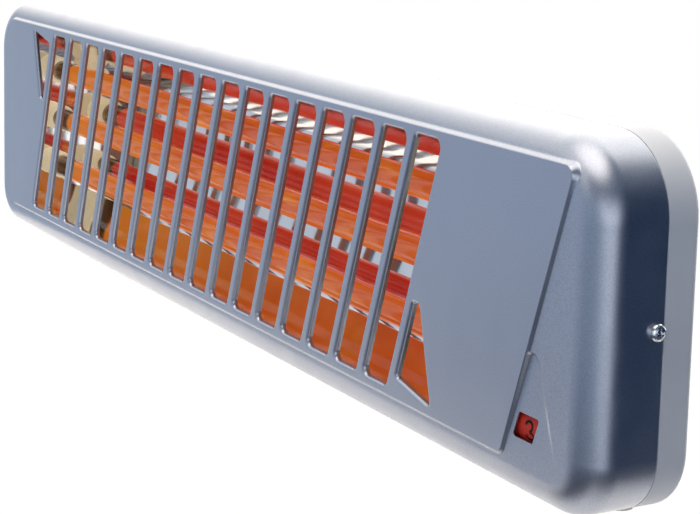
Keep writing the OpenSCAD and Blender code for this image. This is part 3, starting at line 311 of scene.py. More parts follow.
class Skin:
    """A mesh made of patches that carry their own normals. Points that meet are joined."""

    def __init__(self):
        self.points, self.normals, self.faces, self.count = [], [], [], 0

    def add(self, points, normals, faces):
        points, faces = np.asarray(points, float), np.asarray(faces, int)
        normals = np.broadcast_to(np.asarray(normals, float), points.shape)
        a, b, c = (points[faces[:, i]] for i in range(3))
        flat = np.cross(b - a, c - a)
        # x, h, z is a left-handed set, so the turn is the other way round
        wrong = (flat * normals[faces].sum(1)).sum(1) > 0
        faces = faces.copy()
        faces[wrong] = faces[wrong][:, ::-1]
        self.points.append(points)
        self.normals.append(normals)
        self.faces.append(faces + self.count)
        self.count += len(points)

    def loft(self, rings, normals, closed=True, skip=()):
        """Joins lines of points that have the same count. skip names the spans left open."""
        n = len(rings[0])
        spans = [i for i in range(n if closed else n - 1) if i not in skip]
        faces = []
        for k in range(len(rings) - 1):
            for i in spans:
                a, b = k * n + i, k * n + (i + 1) % n
                faces += [(a, b, b + n), (a, b + n, a + n)]
        normals = [np.broadcast_to(m, r.shape) for m, r in zip(normals, rings)]
        self.add(np.concatenate(rings), np.concatenate(normals), faces)

    def build(self, name):
        points, normals, faces = (np.concatenate(a) for a in (self.points, self.normals, self.faces))
        _, first, joined = np.unique(np.round(points, 4), axis=0, return_index=True, return_inverse=True)
        joined = joined.reshape(-1)
        tri = joined[faces]
        good = (tri[:, 0] != tri[:, 1]) & (tri[:, 1] != tri[:, 2]) & (tri[:, 2] != tri[:, 0])
        tri, corners = tri[good], normals[faces[good]].reshape(-1, 3)
        place = points[first] * [0.001, -0.001, 0.001]
        corners = corners * [1, -1, 1]
        mesh = bpy.data.meshes.new(name)
        mesh.from_pydata(place.tolist(), [], tri.tolist())
        mesh.polygons.foreach_set("use_smooth", np.ones(len(tri), bool))
        mesh.update()
        mesh.normals_split_custom_set(corners.tolist())
        piece = bpy.data.objects.new(name, mesh)
        scene.collection.objects.link(piece)
        return piece


def outward(loop):
    """Unit normals of a closed line of plan points, counterclockwise."""
    t = np.roll(loop, -1, 0) - np.roll(loop, 1, 0)
    return np.stack([t[:, 1], -t[:, 0]], 1) / np.linalg.norm(t, axis=1)[:, None]


def tilted(side, a):
    """Normals between a sideways one, at a = 0, and straight out of the wall, at a = 90."""
    c, s = math.cos(math.radians(a)), math.sin(math.radians(a))
    return np.stack([side[:, 0] * c, np.full(len(side), s), side[:, 1] * c], 1)


OUT, IN = (0, 1, 0), (0, -1, 0)


def finish_piece(piece, body, slot, *replaced):
    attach(piece, body)
    if replaced:
        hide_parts(*replaced)
    piece.data.materials.append(materials[slot])
    return piece


# ---------------------------------------------------------------- front cover

# Where the face's triangles get their corners: insets of rings from the case's outline, and rings across the
# steps of the panel and the recess, in parts of the step. A turn is how far up the round edge the rings of one
# count go, in degrees.
OUTER_TURN, INNER_TURN = 48.19, 45.57
OUTER_INSETS, INNER_INSETS = (4.95, 5.95, 7.0, 8.05, 9.27, 10.6, 12.03), (6.2, 7.5, 9.1)
LOOSE_INSETS, LOOSE_GAP = (10.5, 12), 0.3
PANEL_RINGS, RECESS_RINGS = (-1, -0.67, -0.33, 0, 0.33, 0.67, 1), (-1, -0.5, 0, 0.5, 1)


def case_sides(n=16):
    """Outward normals of the case's ring."""
    a = np.radians(np.concatenate([np.linspace(s, s + 90, n + 1) for s in (0, 90, 180, 270)]))
    return np.stack([np.cos(a), np.sin(a)], 1)


def round_edge(r, inset, top_h, turns):
    """Inset, height and angle of each ring up a round edge that ends at the height top_h."""
    return [(inset + r * (1 - math.cos(math.radians(a))), top_h - r + r * math.sin(math.radians(a)), a)
            for a in turns]


def add_outside(skin, side, ends):
    """The rim at the seam, the side wall, the round edge, and the face with its panel and recess."""
    turns = (0, 30, 60, 90)
    rim = [(seam_rim_r * (1 - math.cos(math.radians(a))), seam_h + seam_rim_r * (1 - math.sin(math.radians(a))))
           for a in turns]
    skin.loft([placed(case_ring(t), h) for t, h in rim], [tilted(side, -a) for a in turns])
    outline = case_ring(0)
    skin.loft([placed(outline, seam_h + seam_rim_r), placed(outline, border_h - front_r)],
              [tilted(side, 0)] * 2, skip=ends)
    bend = round_edge(front_r, 0, border_h, np.linspace(0, OUTER_TURN, 7))
    skin.loft([placed(case_ring(t), h) for t, h, a in bend], [tilted(side, a) for t, h, a in bend])
    openings = [ring(s, r, slot_lip) for s, r in grille] + [ring(window, window_r, window_lip)]
    lines = [case_ring(t) for t in OUTER_INSETS]
    lines += [ring(panel, panel_corner_r, g * panel_step) for g in PANEL_RINGS]
    lines += [ring(recess, recess_r, g * recess_step) for g in RECESS_RINGS]
    found, faces = fill(case_ring(bend[-1][0]), openings, lines)
    skin.add(placed(found, cover_height(found[:, 0], found[:, 1])), slopes(cover_height, found), faces)


def add_openings(skin):
    """The openings' round lips and their walls."""
    openings = [(s, r, slot_lip, bar_back_h) for s, r in grille]
    for shape, r, lip, back_h in openings + [(window, window_r, window_lip, window_back_h)]:
        bore = ring(shape, r)
        into = -outward(bore)
        rings, normals = [], []
        for a in (90, 67.5, 45, 22.5, 0):
            p = ring(shape, r, lip * (1 - math.cos(math.radians(a))))
            drop = lip * (1 - math.sin(math.radians(a)))
            rings.append(placed(p, cover_height(p[:, 0], p[:, 1]) - drop))
            normals.append(tilted(into, a))
        skin.loft(rings + [placed(bore, back_h)], normals + [tilted(into, 0)])


def add_inside(skin, side, ends):
    """The inner faces, and the pockets behind the grille and the window."""
    r = front_r - cover_t
    bend = round_edge(r, cover_t, skin_h, np.linspace(0, INNER_TURN, 5))
    skin.loft([placed(case_ring(t), h) for t, h, a in bend], [-tilted(side, a) for t, h, a in bend])
    skin.loft([placed(case_ring(cover_t), seam_h), placed(case_ring(cover_t), skin_h - r)],
              [-tilted(side, 0)] * 2, skip=ends)
    skin.loft([placed(case_ring(seam_rim_r), seam_h), placed(case_ring(cover_t), seam_h)], [IN, IN])
    loose = np.concatenate([case_ring(t) for t in LOOSE_INSETS])
    loose = loose[distance(pocket, loose[:, 0], loose[:, 1]) > LOOSE_GAP]
    lines = [case_ring(t) for t in INNER_INSETS]
    found, faces = fill(case_ring(bend[-1][0]), [pocket, window_pocket], lines, loose)
    skin.add(placed(found, skin_height(found[:, 0], found[:, 1])), -slopes(skin_height, found), faces)
    for shape, top_h, holes in ((pocket, bar_back_h, grille),
                                (window_pocket, window_back_h, [(window, window_r)])):
        found, faces = fill(shape, [ring(hole, hole_r) for hole, hole_r in holes])
        skin.add(placed(found, top_h), IN, faces)
        for a, b in zip(shape, np.roll(shape, -1, 0)):
            line = np.array([a, b])
            t = b - a
            skin.loft([placed(line, skin_height(line[:, 0], line[:, 1])), placed(line, top_h)],
                      [np.array([-t[1], 0, t[0]]) / np.linalg.norm(t)] * 2, closed=False)


def on_end(p, s, inset):
    """Points (z, h) on an end wall's face, as x, h and z. s is 1 at +X."""
    return np.stack([np.full(len(p), s * (case_x - inset)), p[:, 1], p[:, 0]], 1)


def add_ends(skin):
    """The flat end walls, with the cover screws' holes."""
    z0, z1 = -(case_z - corner_bottom_r), case_z - corner_top_r
    hole = arc((cover_screw_z, cover_screw_h), cover_screw_hole_r, 0, 360, 24)[:-1]
    away = hole - [cover_screw_z, cover_screw_h]
    inwards = np.stack([np.zeros(len(hole)), -away[:, 1], -away[:, 0]], 1) / cover_screw_hole_r
    high = border_h - front_r
    for s in (-1, 1):
        for inset, low, turn in ((0, seam_h + seam_rim_r, 1), (cover_t, seam_h, -1)):
            found, faces = fill([[z0, low], [z1, low], [z1, high], [z0, high]], [hole])
            skin.add(on_end(found, s, inset), (s * turn, 0, 0), faces)
        skin.loft([on_end(hole, s, inset) for inset in (0, cover_t)], [inwards] * 2)


def build_cover():
    """The front cover: a shell with walls of its own, open at its back."""
    skin = Skin()
    side = case_sides()
    # The ring's spans in the end walls are left open for add_ends
    ends = (len(side) - 1, len(side) // 2 - 1)
    add_outside(skin, side, ends)
    add_openings(skin)
    add_inside(skin, side, ends)
    add_ends(skin)
    return skin.build("cover_skin")


# ---------------------------------------------------------------- sections along the case


def run_normals(line):
    """Unit normals of an open line of points (h, z), to its right."""
    t = np.gradient(line, axis=0)
    return np.stack([t[:, 1], -t[:, 0]], 1) / np.linalg.norm(t, axis=1)[:, None]


def along(line, x):
    """A section's points (h, z) at x, as x, h and z."""
    return np.stack([np.full(len(line), x), line[:, 0], line[:, 1]], 1)


def curve_through(points, parts=6):
    """A smooth line through points."""
    p = np.array([2 * np.array(points[0]) - points[1], *points, 2 * np.array(points[-1]) - points[-2]])
    out = []
    for a, b, c, d in zip(p, p[1:], p[2:], p[3:]):
        for t in np.linspace(0, 1, parts + 1)[:-1]:
            out.append(0.5 * (2 * b + (c - a) * t + (2 * a - 5 * b + 4 * c - d) * t ** 2
                              + (3 * b - a - 3 * c + d) * t ** 3))
    return np.array(out + [p[-2]])


def hollow(a, b, depth, n=12):
    """A shallow curve from a to b that bends to its right."""
    a, b = np.array(a, float), np.array(b, float)
    u = (b - a) / np.linalg.norm(b - a)
    c = (a + b) / 2 + np.array([u[1], -u[0]]) * depth
    t = np.linspace(0, 1, n + 1)[:, None]
    return (1 - t) ** 2 * a + 2 * t * (1 - t) * c + t ** 2 * b


# The reflector's section, as points (h, z): its round upper bend and hollow back, two folds and its foot.
# Between the folds, and below them, is a leaf, each hollow by its own depth.
REFLECTOR_FOLDS = [(52.3, -37), (62, -48.2)]
REFLECTOR_BACK = [(78, 57), (75, 56.95), (72, 56.2), (67, 52.9), (61.6, 47.4), (56.9, 40.6), (53.5, 33.4),
                  (52, 27.7), (51.2, 17.6), (50.7, 5.3), (50.7, -7), (51.7, -19.5), REFLECTOR_FOLDS[0]]
REFLECTOR_FOOT = (78, -57)
LEAF_DEPTHS = (1.6, 0.6)


def build_reflector():
    """A sheet with a round upper bend, a gently hollow back and two hollow leaves, softened at its folds."""
    line = curve_through(REFLECTOR_BACK, 8)
    for a, b, depth in zip(REFLECTOR_FOLDS, [REFLECTOR_FOLDS[1], REFLECTOR_FOOT], LEAF_DEPTHS):
        leaf = hollow(a, b, depth)
        softened = (line[-2:-1] + line[-1:] * 2 + leaf[1:2]) / 4
        line = np.concatenate([line[:-1], softened, leaf[1:]])
    facing = -run_normals(line)
    behind = line - facing * sheet_t
    skin = Skin()
    stations = np.linspace(plate_x[0] + sheet_t, plate_x[1] - sheet_t, 24)
    for face, sign in ((line, 1), (behind, -1)):
        n = np.stack([np.zeros(len(face)), facing[:, 0] * sign, facing[:, 1] * sign], 1)
        skin.loft([along(face, x) for x in stations], [n] * len(stations), closed=False)
    for i in (0, -1):
        rim = np.array([line[i], behind[i]])
        skin.loft([along(rim, x) for x in stations], [OUT] * len(stations), closed=False)
    for x, s in ((stations[0], -1), (stations[-1], 1)):
        skin.loft([along(line, x), along(behind, x)], [(s, 0, 0)] * 2, closed=False)
    return skin.build("reflector_sheet")


def lathe(skin, profile, h, z, n=64):
    """Turns a line of points (x, r) about an axis along the case. Each span keeps its own normals."""
    a = np.radians(np.linspace(0, 360, n + 1))[:-1]
    profile = np.asarray(profile, float)

    def circle(x, r):
        return np.stack([np.full(n, x), h + r * np.cos(a), z + r * np.sin(a)], 1)

    def facing(t):
        t = t / np.linalg.norm(t)
        return np.stack([np.full(n, -t[1]), t[0] * np.cos(a), t[0] * np.sin(a)], 1)

    for p, q in zip(profile, profile[1:]):
        skin.loft([circle(*p), circle(*q)], [facing(q - p)] * 2)


def build_tube(name, z):
    """A quartz tube with its bore."""
    skin = Skin()
    x0, x1 = tube_x
    stations = np.linspace(x0, x1, 12)
    lathe(skin, [(x, tube_r) for x in stations], tube_h, z)
    lathe(skin, [(x1, tube_r), (x1, tube_bore_r)], tube_h, z)
    lathe(skin, [(x, tube_bore_r) for x in stations[::-1]], tube_h, z)
    lathe(skin, [(x0, tube_bore_r), (x0, tube_r)], tube_h, z)
    return skin.build(name)


def build_coil(name, z):
    """A wire wound close. It ends a little inside the coil's ends."""
    wire_r, pitch, steps, sides, inside = 0.42, 1.75, 12, 6, 2
    x0, length = coil_x[0] + inside, coil_x[1] - coil_x[0] - 2 * inside
    turns = int(length / pitch)
    k = np.arange(turns * steps + 1) / steps
    r = coil_r - wire_r
    a = 2 * math.pi * k
    path = np.stack([x0 + length * k / turns, tube_h + r * np.cos(a), z + r * np.sin(a)], 1)
    radial = np.stack([np.zeros(len(a)), np.cos(a), np.sin(a)], 1)
    t = np.gradient(path, axis=0)
    t /= np.linalg.norm(t, axis=1)[:, None]
    other = np.cross(t, radial)
    skin = Skin()
    rows, normals = [], []
    for i in range(sides):
        b = 2 * math.pi * i / sides
        n = radial * math.cos(b) + other * math.sin(b)
        rows.append(path + n * wire_r)
        normals.append(n)
    rows.append(rows[0])
    normals.append(normals[0])
    skin.loft(rows, normals, closed=False)
    for i, s in ((0, -1), (-1, 1)):
        rim = np.array([row[i] for row in rows[:-1]])
        skin.add(rim, t[i] * s, [(0, j, j + 1) for j in range(1, sides - 1)])
    return skin.build(name)


def build_caps(name, outer, s):
    """Ceramic caps with a collar, a socket for the tube and a bore for the stud.

    Their backs lie at x = outer. s is 1 where they point to +X, and -1 where they point to -X.
    """
    bore_r, socket_r, socket_l = 1.25, 5.55, 12
    collar_x0, collar_x1, collar_r, bevel = 6, 8, 8.5, 0.4
    back = [(0, bore_r), (0, 5.2), (0.6, 6.2), (0.6, cap_r - 0.5), (1.1, cap_r)]
    collar = [(collar_x0, cap_r), (collar_x0, collar_r - bevel), (collar_x0 + bevel, collar_r),
              (collar_x1 - bevel, collar_r), (collar_x1, collar_r - bevel), (collar_x1, cap_r)]
    mouth = [(cap_l - 0.7, cap_r), (cap_l - 0.2, cap_r - 0.25), (cap_l, cap_r - 0.7), (cap_l, 6.1),
             (cap_l - 0.45, socket_r)]
    socket = [(cap_l - socket_l, socket_r), (cap_l - socket_l, bore_r), (0, bore_r)]
    skin = Skin()
    for z in tube_zs.values():
        turned = [(outer + s * x, r) for x, r in back + collar + mouth + socket]
        lathe(skin, turned if s > 0 else turned[::-1], tube_h, z, 48)
    return skin.build(name)


# Strokes of the drum's figures: lines of points in a box about 5 wide and 7 high, about its middle
FIGURES = {
    "3": [[(-2.2, 1.75), (-1.35, 2.8), (-0.05, 3.2), (1.2, 2.75), (1.6, 1.8), (1.2, 0.5), (0.0, -0.35)],
          [(0.0, -0.35), (1.45, -0.75), (2.1, -1.6), (1.6, -2.7), (0.2, -3.1), (-1.3, -2.9), (-2.3, -2.1)]],
    "0": [[(0, 3.2), (-1.6, 2.5), (-2.1, 0), (-1.6, -2.5), (0, -3.2), (1.6, -2.5), (2.1, 0), (1.6, 2.5),
           (0, 3.2)]],
    "1": [[(-1.4, 1.9), (-0.4, 2.5), (0.4, 3.2), (0.4, 0), (0.4, -3.2)]],
    "2": [[(-2.0, 1.7), (-1.5, 2.8), (0, 3.2), (1.6, 2.6), (1.8, 1.2), (0.6, -0.6), (-1.2, -2.1),
           (-2.1, -3.1)],
          [(-2.1, -3.1), (0, -3.1), (2.1, -3.1)]],
}
# Width of a stroke, how far it stands out of the drum and reaches into it, and where a figure's middle lies
FIGURE_W, FIGURE_T, FIGURE_SUNK = 0.95, 0.07, 0.05
FIGURE_X, FIGURE_UP = 248.15, -1.1


def on_drum(u, v, lift, turn):
    """A figure's points u, v wrapped round the drum and turned by an angle, and their normals."""
    a = (v + FIGURE_UP) / drum_r + turn
    r = drum_r + lift
    points = np.stack([FIGURE_X + u, axis_h + r * np.cos(a), axis_z + r * np.sin(a)], 1)
    return points, np.stack([np.zeros(len(a)), np.cos(a), np.sin(a)], 1)


def build_figures():
    """The drum's figures, a quarter turn apart, as thin strokes on its face."""
    skin = Skin()
    for k, figure in enumerate("3012"):
        turn = k * math.pi / 2
        for stroke in FIGURES[figure]:
            line = curve_through(stroke)
            side = run_normals(line) * FIGURE_W / 2
            u = line[:, 0][:, None] + np.stack([-side[:, 0], side[:, 0]], 1)
            v = line[:, 1][:, None] + np.stack([-side[:, 1], side[:, 1]], 1)
            top = [on_drum(u[:, i], v[:, i], FIGURE_T, turn) for i in (0, 1)]
            low = [on_drum(u[:, i], v[:, i], -FIGURE_SUNK, turn) for i in (0, 1)]
            skin.loft([top[0][0], top[1][0]], [top[0][1], top[1][1]], closed=False)
            skin.loft([low[0][0], low[1][0]], [-low[0][1], -low[1][1]], closed=False)
            for i in (0, 1):
                away = top[i][0] - top[1 - i][0]
                away /= np.linalg.norm(away, axis=1)[:, None]
                skin.loft([top[i][0], low[i][0]], [away, away], closed=False)
            for i, j in ((0, 1), (-1, -2)):
                rim = np.array([top[0][0][i], top[1][0][i], low[1][0][i], low[0][0][i]])
                away = top[0][0][i] - top[0][0][j]
                skin.add(rim, away / np.linalg.norm(away), [(0, 1, 2), (0, 2, 3)])
    return skin.build("drum_figures")


# ---------------------------------------------------------------- materials


def linear(colour):
    """A hex colour as linear red, green, blue and 1."""
    c = [int(colour[i:i + 2], 16) / 255 for i in (1, 3, 5)]
    return tuple(v / 12.92 if v <= 0.04045 else ((v + 0.055) / 1.055) ** 2.4 for v in c) + (1.0,)


class Finish:
    """A material and the nodes that its finish is made of."""

    def __init__(self, name):
        self.mat = bpy.data.materials.new(name)
        self.mat.use_nodes = True
        self.tree = self.mat.node_tree
        self.tree.nodes.clear()
        self.shader = self.node("ShaderNodeBsdfPrincipled")
        self.output = self.node("ShaderNodeOutputMaterial")
        self.link(self.shader.outputs[0], self.output.inputs["Surface"])
        self.coord = self.node("ShaderNodeTexCoord")

    def node(self, kind, **values):
        n = self.tree.nodes.new(kind)
        for key, value in values.items():
            setattr(n, key, value)
        return n

    def link(self, a, b):
        self.tree.links.new(a, b)

    def set(self, **values):
        for key, value in values.items():
            self.shader.inputs[key.replace("_", " ")].default_value = value

    def noise(self, scale, detail=2.0, stretch=(1, 1, 1), rough=0.5, distortion=0.0):
        """Noise in the object's own space. scale is in cells per metre."""
        m = self.node("ShaderNodeMapping")
        m.inputs["Scale"].default_value = stretch
        self.link(self.coord.outputs["Object"], m.inputs["Vector"])
        n = self.node("ShaderNodeTexNoise")
        n.inputs["Scale"].default_value = scale
        n.inputs["Detail"].default_value = detail
        n.inputs["Roughness"].default_value = rough
        n.inputs["Distortion"].default_value = distortion
        self.link(m.outputs[0], n.inputs["Vector"])
        return n.outputs[0]

    def spread(self, value, lo, hi, to_lo=0.0, to_hi=1.0):
        m = self.node("ShaderNodeMapRange")
        for socket, v in zip(("From Min", "From Max", "To Min", "To Max"), (lo, hi, to_lo, to_hi)):
            m.inputs[socket].default_value = v
        self.link(value, m.inputs["Value"])
        return m.outputs[0]

    def ramp(self, value, *stops):
        r = self.node("ShaderNodeValToRGB")
        while len(r.color_ramp.elements) < len(stops):
            r.color_ramp.elements.new(0.5)
        for e, (at, colour) in zip(r.color_ramp.elements, stops):
            e.position = at
            e.color = colour if isinstance(colour, tuple) else linear(colour)
        self.link(value, r.inputs["Fac"])
        return r.outputs["Color"]

    def mix(self, fac, a, b):
        m = self.node("ShaderNodeMix", data_type="RGBA")
        for value, socket in ((fac, m.inputs[0]), (a, m.inputs[6]), (b, m.inputs[7])):
            if isinstance(value, (tuple, float, int)):
                socket.default_value = value
            else:
                self.link(value, socket)
        return m.outputs[2]

    def maths(self, operation, a, b=0.0):
        m = self.node("ShaderNodeMath", operation=operation)
        for value, socket in ((a, m.inputs[0]), (b, m.inputs[1])):
            if isinstance(value, (float, int)):
                socket.default_value = value
            else:
                self.link(value, socket)
        return m.outputs[0]

    def bump(self, value, strength, depth_mm, base=None):
        b = self.node("ShaderNodeBump")
        b.inputs["Strength"].default_value = strength
        b.inputs["Distance"].default_value = depth_mm / 1000
        self.link(value, b.inputs["Height"])
        if base is not None:
            self.link(base, b.inputs["Normal"])
        return b.outputs[0]

    def to(self, socket, value):
        self.link(value, self.shader.inputs[socket])
        return self

    def axes(self, kind="Object"):
        """x, y and z of the object's own coordinates, or of its normal."""
        n = self.node("ShaderNodeSeparateXYZ")
        self.link(self.coord.outputs[kind], n.inputs[0])
        return tuple(n.outputs)


def scaled(colour, k):
    """A linear colour k times as bright, up to white."""
    return tuple(min(1, v * k) for v in colour[:3]) + (1.0,)


def plain(name, colour, rough, metallic, tone, tone_scale, grain, grain_mm, strength, **values):
    """A finish with a varied tone, a varied gloss and a fine grain."""
    f = Finish(name)
    c = linear(colour)
    f.to("Base Color", f.ramp(f.noise(tone_scale, 4), (0.3, scaled(c, 1 - tone)), (0.7, scaled(c, 1 + tone))))
    f.to("Roughness", f.spread(f.noise(tone_scale * 2.5, 3), 0.3, 0.7, *rough))
    f.to("Normal", f.bump(f.noise(grain, 3), strength, grain_mm))
    f.set(Metallic=metallic, **values)
    return f.mat


def cover_paint():
    """Silver-blue metallic paint: flakes in tone and tilt, faint clouds, and a faint orange peel."""
    f = Finish("cover_paint")
    base = linear("#A3AAB9")
    flake = f.noise(2600, 1)
    flaked = f.ramp(flake, (0.32, scaled(base, 0.86)), (0.68, scaled(base, 1.12)))
    clouds = f.spread(f.noise(14, 3), 0.35, 0.65, 0, 0.10)
    f.to("Base Color", f.mix(clouds, flaked, linear("#B8BFCE")))
    f.to("Roughness", f.spread(f.noise(90, 3), 0.3, 0.7, 0.30, 0.36))
    peel = f.bump(f.noise(420, 2), 0.25, 0.02)
    f.to("Normal", f.bump(flake, 0.35, 0.012, peel))
    f.set(Metallic=0.96, Coat_Weight=0.5, Coat_Roughness=0.2)
    return f.mat


def polished():
    """Bright rolled aluminium: a mirror with a faint waviness and fine rolling lines, and brown along its top.
    """
    brown_from, brown_to = 0.0415, 0.0435
    f = Finish("polished_aluminium")
    lines = f.noise(500, 3, (0.02, 1, 1))
    wander = f.spread(f.noise(60, 2), 0.3, 0.7, -0.001, 0.001)
    # The base colour turns dark brown above a wavy line near the top
    brown_band = f.spread(f.maths("ADD", f.axes()[2], wander), brown_from, brown_to)
    bright = f.ramp(f.noise(30, 3), (0.3, "#E2DFDA"), (0.7, "#F1F0EE"))
    f.to("Base Color", f.mix(brown_band, bright, linear("#6E4A30")))
    f.to("Roughness", f.spread(lines, 0.3, 0.7, 0.03, 0.07))
    wave = f.bump(f.noise(16, 1, (0.5, 1, 1)), 0.5, 0.35)
    f.to("Normal", f.bump(lines, 0.12, 0.004, wave))
    f.set(Metallic=1.0)
    return f.mat


def glowing_tube():
    """A quartz tube with its coil's glow painted on as emission: streaked orange to the front, red to the back,
    clear at its ends.
    """
    f = Finish("quartz_tube")
    x, y, _ = f.axes()
    # Painted glow: the coil's light is painted on the glass as emission, streaked orange to the front
    streak = f.noise(150, 4, (0.16, 1, 1), 0.6, 0.4)
    streaks = f.ramp(streak, (0.3, "#BC4A18"), (0.5, "#CC5E1C"), (0.72, "#DE822E"))
    patches = f.spread(f.noise(26, 3, (0.6, 1, 1)), 0.35, 0.65, 0, 0.55)
    front = f.mix(patches, streaks, linear("#C8501E"))
    front = f.mix(f.spread(x, -0.02, -0.2, 0, 0.75), front, linear("#DC8230"))
    # Painted glow on the back half: red, and tan on the faces that turn downwards
    behind = f.ramp(f.noise(40, 3, (0.5, 1, 1)), (0.3, "#B4221C"), (0.7, "#D0422A"))
    down = f.spread(f.axes("Normal")[2], -0.4, -0.85)
    under = f.maths("MULTIPLY", down, f.spread(x, 0.1, -0.15, 0.25, 0.9))
    behind = f.mix(under, behind, linear("#D08430"))
    axis_y, half = -tube_h / 1000, 0.0012
    colour = f.mix(f.spread(y, axis_y - half, axis_y + half), front, behind)
    # The glow's ends, near the coil's, the left one uneven
    wander = f.spread(streak, 0.3, 0.7, -0.001, 0.001)
    left = f.spread(f.maths("ADD", x, wander), (coil_x[0] + 3) / 1000, (coil_x[0] + 7) / 1000)
    right = f.spread(x, (coil_x[1] + 1) / 1000, (coil_x[1] - 3) / 1000)
    lit = f.maths("MULTIPLY", left, right)
    f.to("Base Color", f.mix(lit, linear("#A98F73"), linear("#3A1C0E")))
    f.to("Emission Color", colour)
    f.to("Emission Strength", f.spread(lit, 0, 1, 0.0, 0.74))
    f.to("Transmission Weight", f.spread(lit, 0, 1, 0.9, 0.25))
    f.to("Roughness", f.spread(f.noise(220, 3), 0.3, 0.7, 0.10, 0.2))
    f.to("Normal", f.bump(streak, 0.2, 0.03))
    f.set(IOR=1.46)
    return f.mat


def glowing_coil():
    """Glowing resistance wire."""
    f = Finish("glowing_coil")
    glow = f.ramp(f.noise(60, 3, (0.4, 1, 1)), (0.3, "#FF8A2A"), (0.7, "#FFC05A"))
    f.to("Base Color", glow).to("Emission Color", glow)
    f.to("Roughness", f.spread(f.noise(800, 2), 0.3, 0.7, 0.5, 0.7))
    f.to("Normal", f.bump(f.noise(3000, 2), 0.3, 0.02))
    f.set(Emission_Strength=1.6)
    return f.mat


def spangled(name, colour, rough):
    """Zinc-coated steel with its spangle."""
    f = Finish(name)
    v = f.node("ShaderNodeTexVoronoi")
    v.inputs["Scale"].default_value = 160
    f.link(f.coord.outputs["Object"], v.inputs["Vector"])
    cell = f.spread(v.outputs["Color"], 0, 1)
    c = linear(colour)
    f.to("Base Color", f.ramp(cell, (0.1, scaled(c, 0.86)), (0.9, scaled(c, 1.12))))
    f.to("Roughness", f.spread(cell, 0, 1, *rough))
    f.to("Normal", f.bump(f.noise(1400, 3), 0.25, 0.01))
    f.set(Metallic=1.0)
    return f.mat


# Each row: colour, roughness from and to, metallic, the tone's spread and its cells per metre, and the grain's
# cells per metre, depth in mm and strength
PLAIN = {
    "housing_paint": ("#C9CED6", (0.42, 0.55), 0.1, 0.04, 25, 1100, 0.03, 0.3),
    "bracket_steel": ("#D3D6DA", (0.4, 0.52), 0.0, 0.05, 30, 900, 0.04, 0.35),
    "bright_steel": ("#C4C6C8", (0.2, 0.34), 1.0, 0.1, 200, 2500, 0.01, 0.3),
    "screw_chrome": ("#D9DBDE", (0.08, 0.18), 1.0, 0.06, 300, 2500, 0.008, 0.25),
    "cap_ceramic": ("#EADFC6", (0.35, 0.6), 0.0, 0.08, 120, 1600, 0.05, 0.4),
    "link_brass": ("#C9A45A", (0.25, 0.4), 1.0, 0.12, 150, 1800, 0.012, 0.3),
    "lead_blue": ("#3E66A8", (0.45, 0.6), 0.0, 0.08, 200, 1500, 0.04, 0.3),
    "lead_cream": ("#DCD0B4", (0.5, 0.7), 0.0, 0.1, 300, 2600, 0.06, 0.5),
    "lead_brown": ("#6A4630", (0.45, 0.6), 0.0, 0.08, 200, 1500, 0.04, 0.3),
    "white_plastic": ("#DDD9CC", (0.38, 0.5), 0.0, 0.05, 60, 1000, 0.03, 0.3),
    "black_plastic": ("#26272A", (0.4, 0.55), 0.0, 0.15, 60, 1000, 0.04, 0.4),
    "nylon": ("#E4DFD2", (0.35, 0.48), 0.0, 0.05, 80, 1000, 0.03, 0.3),
    "black_rubber": ("#1F1F21", (0.6, 0.75), 0.0, 0.2, 60, 1400, 0.06, 0.5),
    "drum_red": ("#BE2A1C", (0.5, 0.65), 0.0, 0.1, 120, 1500, 0.04, 0.3),
    "figure_ink": ("#0E0C0A", (0.6, 0.8), 0.0, 0.25, 300, 2500, 0.02, 0.3),
}
# The caps get a painted glow, an emission that stands in for the tubes' light on them, and the drum and its ink
# are dull
EXTRA = {
    "cap_ceramic": {"Emission_Color": linear("#E2D0AC"), "Emission_Strength": 0.6},
    "drum_red": {"Specular_IOR_Level": 0.25},
    "figure_ink": {"Specular_IOR_Level": 0.2},
}
materials = {name: plain(name, *row, **EXTRA.get(name, {})) for name, row in PLAIN.items()}
materials["cover_paint"] = cover_paint()
materials["plain_steel"] = spangled("plain_steel", "#B9BCC0", (0.28, 0.45))
materials["polished_aluminium"] = polished()
materials["quartz"] = glowing_tube()
materials["glowing_coil"] = glowing_coil()

for name, o in nodes.items():
    for s in range(len(o.data.materials)):
        o.data.materials[s] = materials[slot_of[name]]

# ---------------------------------------------------------------- pieces

finish_piece(build_cover(), "heater", "cover_paint", "front_cover")
finish_piece(build_reflector(), "heater", "polished_aluminium", "reflector")
for place, z in tube_zs.items():
    finish_piece(build_tube("glass_" + place, z), "heater", "quartz", "quartz_tube_" + place)
    finish_piece(build_coil("coil_wire_" + place, z), "heater", "glowing_coil", "heating_coil_" + place)
for name, outer, s, cap_node in (("ceramic_left", plate_x[0] - cap_out, 1, "tube_caps_left"),
                                 ("ceramic_right", plate_x[1] + cap_out, -1, "tube_caps_right")):
    finish_piece(build_caps(name, outer, s), "heater", "cap_ceramic", cap_node)
figures = finish_piece(build_figures(), "drum", "drum_red")
figures.data.materials[0] = materials["figure_ink"]

# ---------------------------------------------------------------- floor, light and view
# The camera sees a white background and a white floor with the object's shadow, and so does light that has
# passed through glass. Metal mirrors the studio's light and the floor's colours, which are pale with patches of
# painted shade, and these give the photo's gradients.

scene.view_settings.view_transform = "Standard"
FLOOR_Y, FLOOR_Z = -0.06, -0.20
FLOOR_RADII, FLOOR_SIDES = (0.3, 0.5, 0.64), 64
FLOOR_GLOW = 0.9


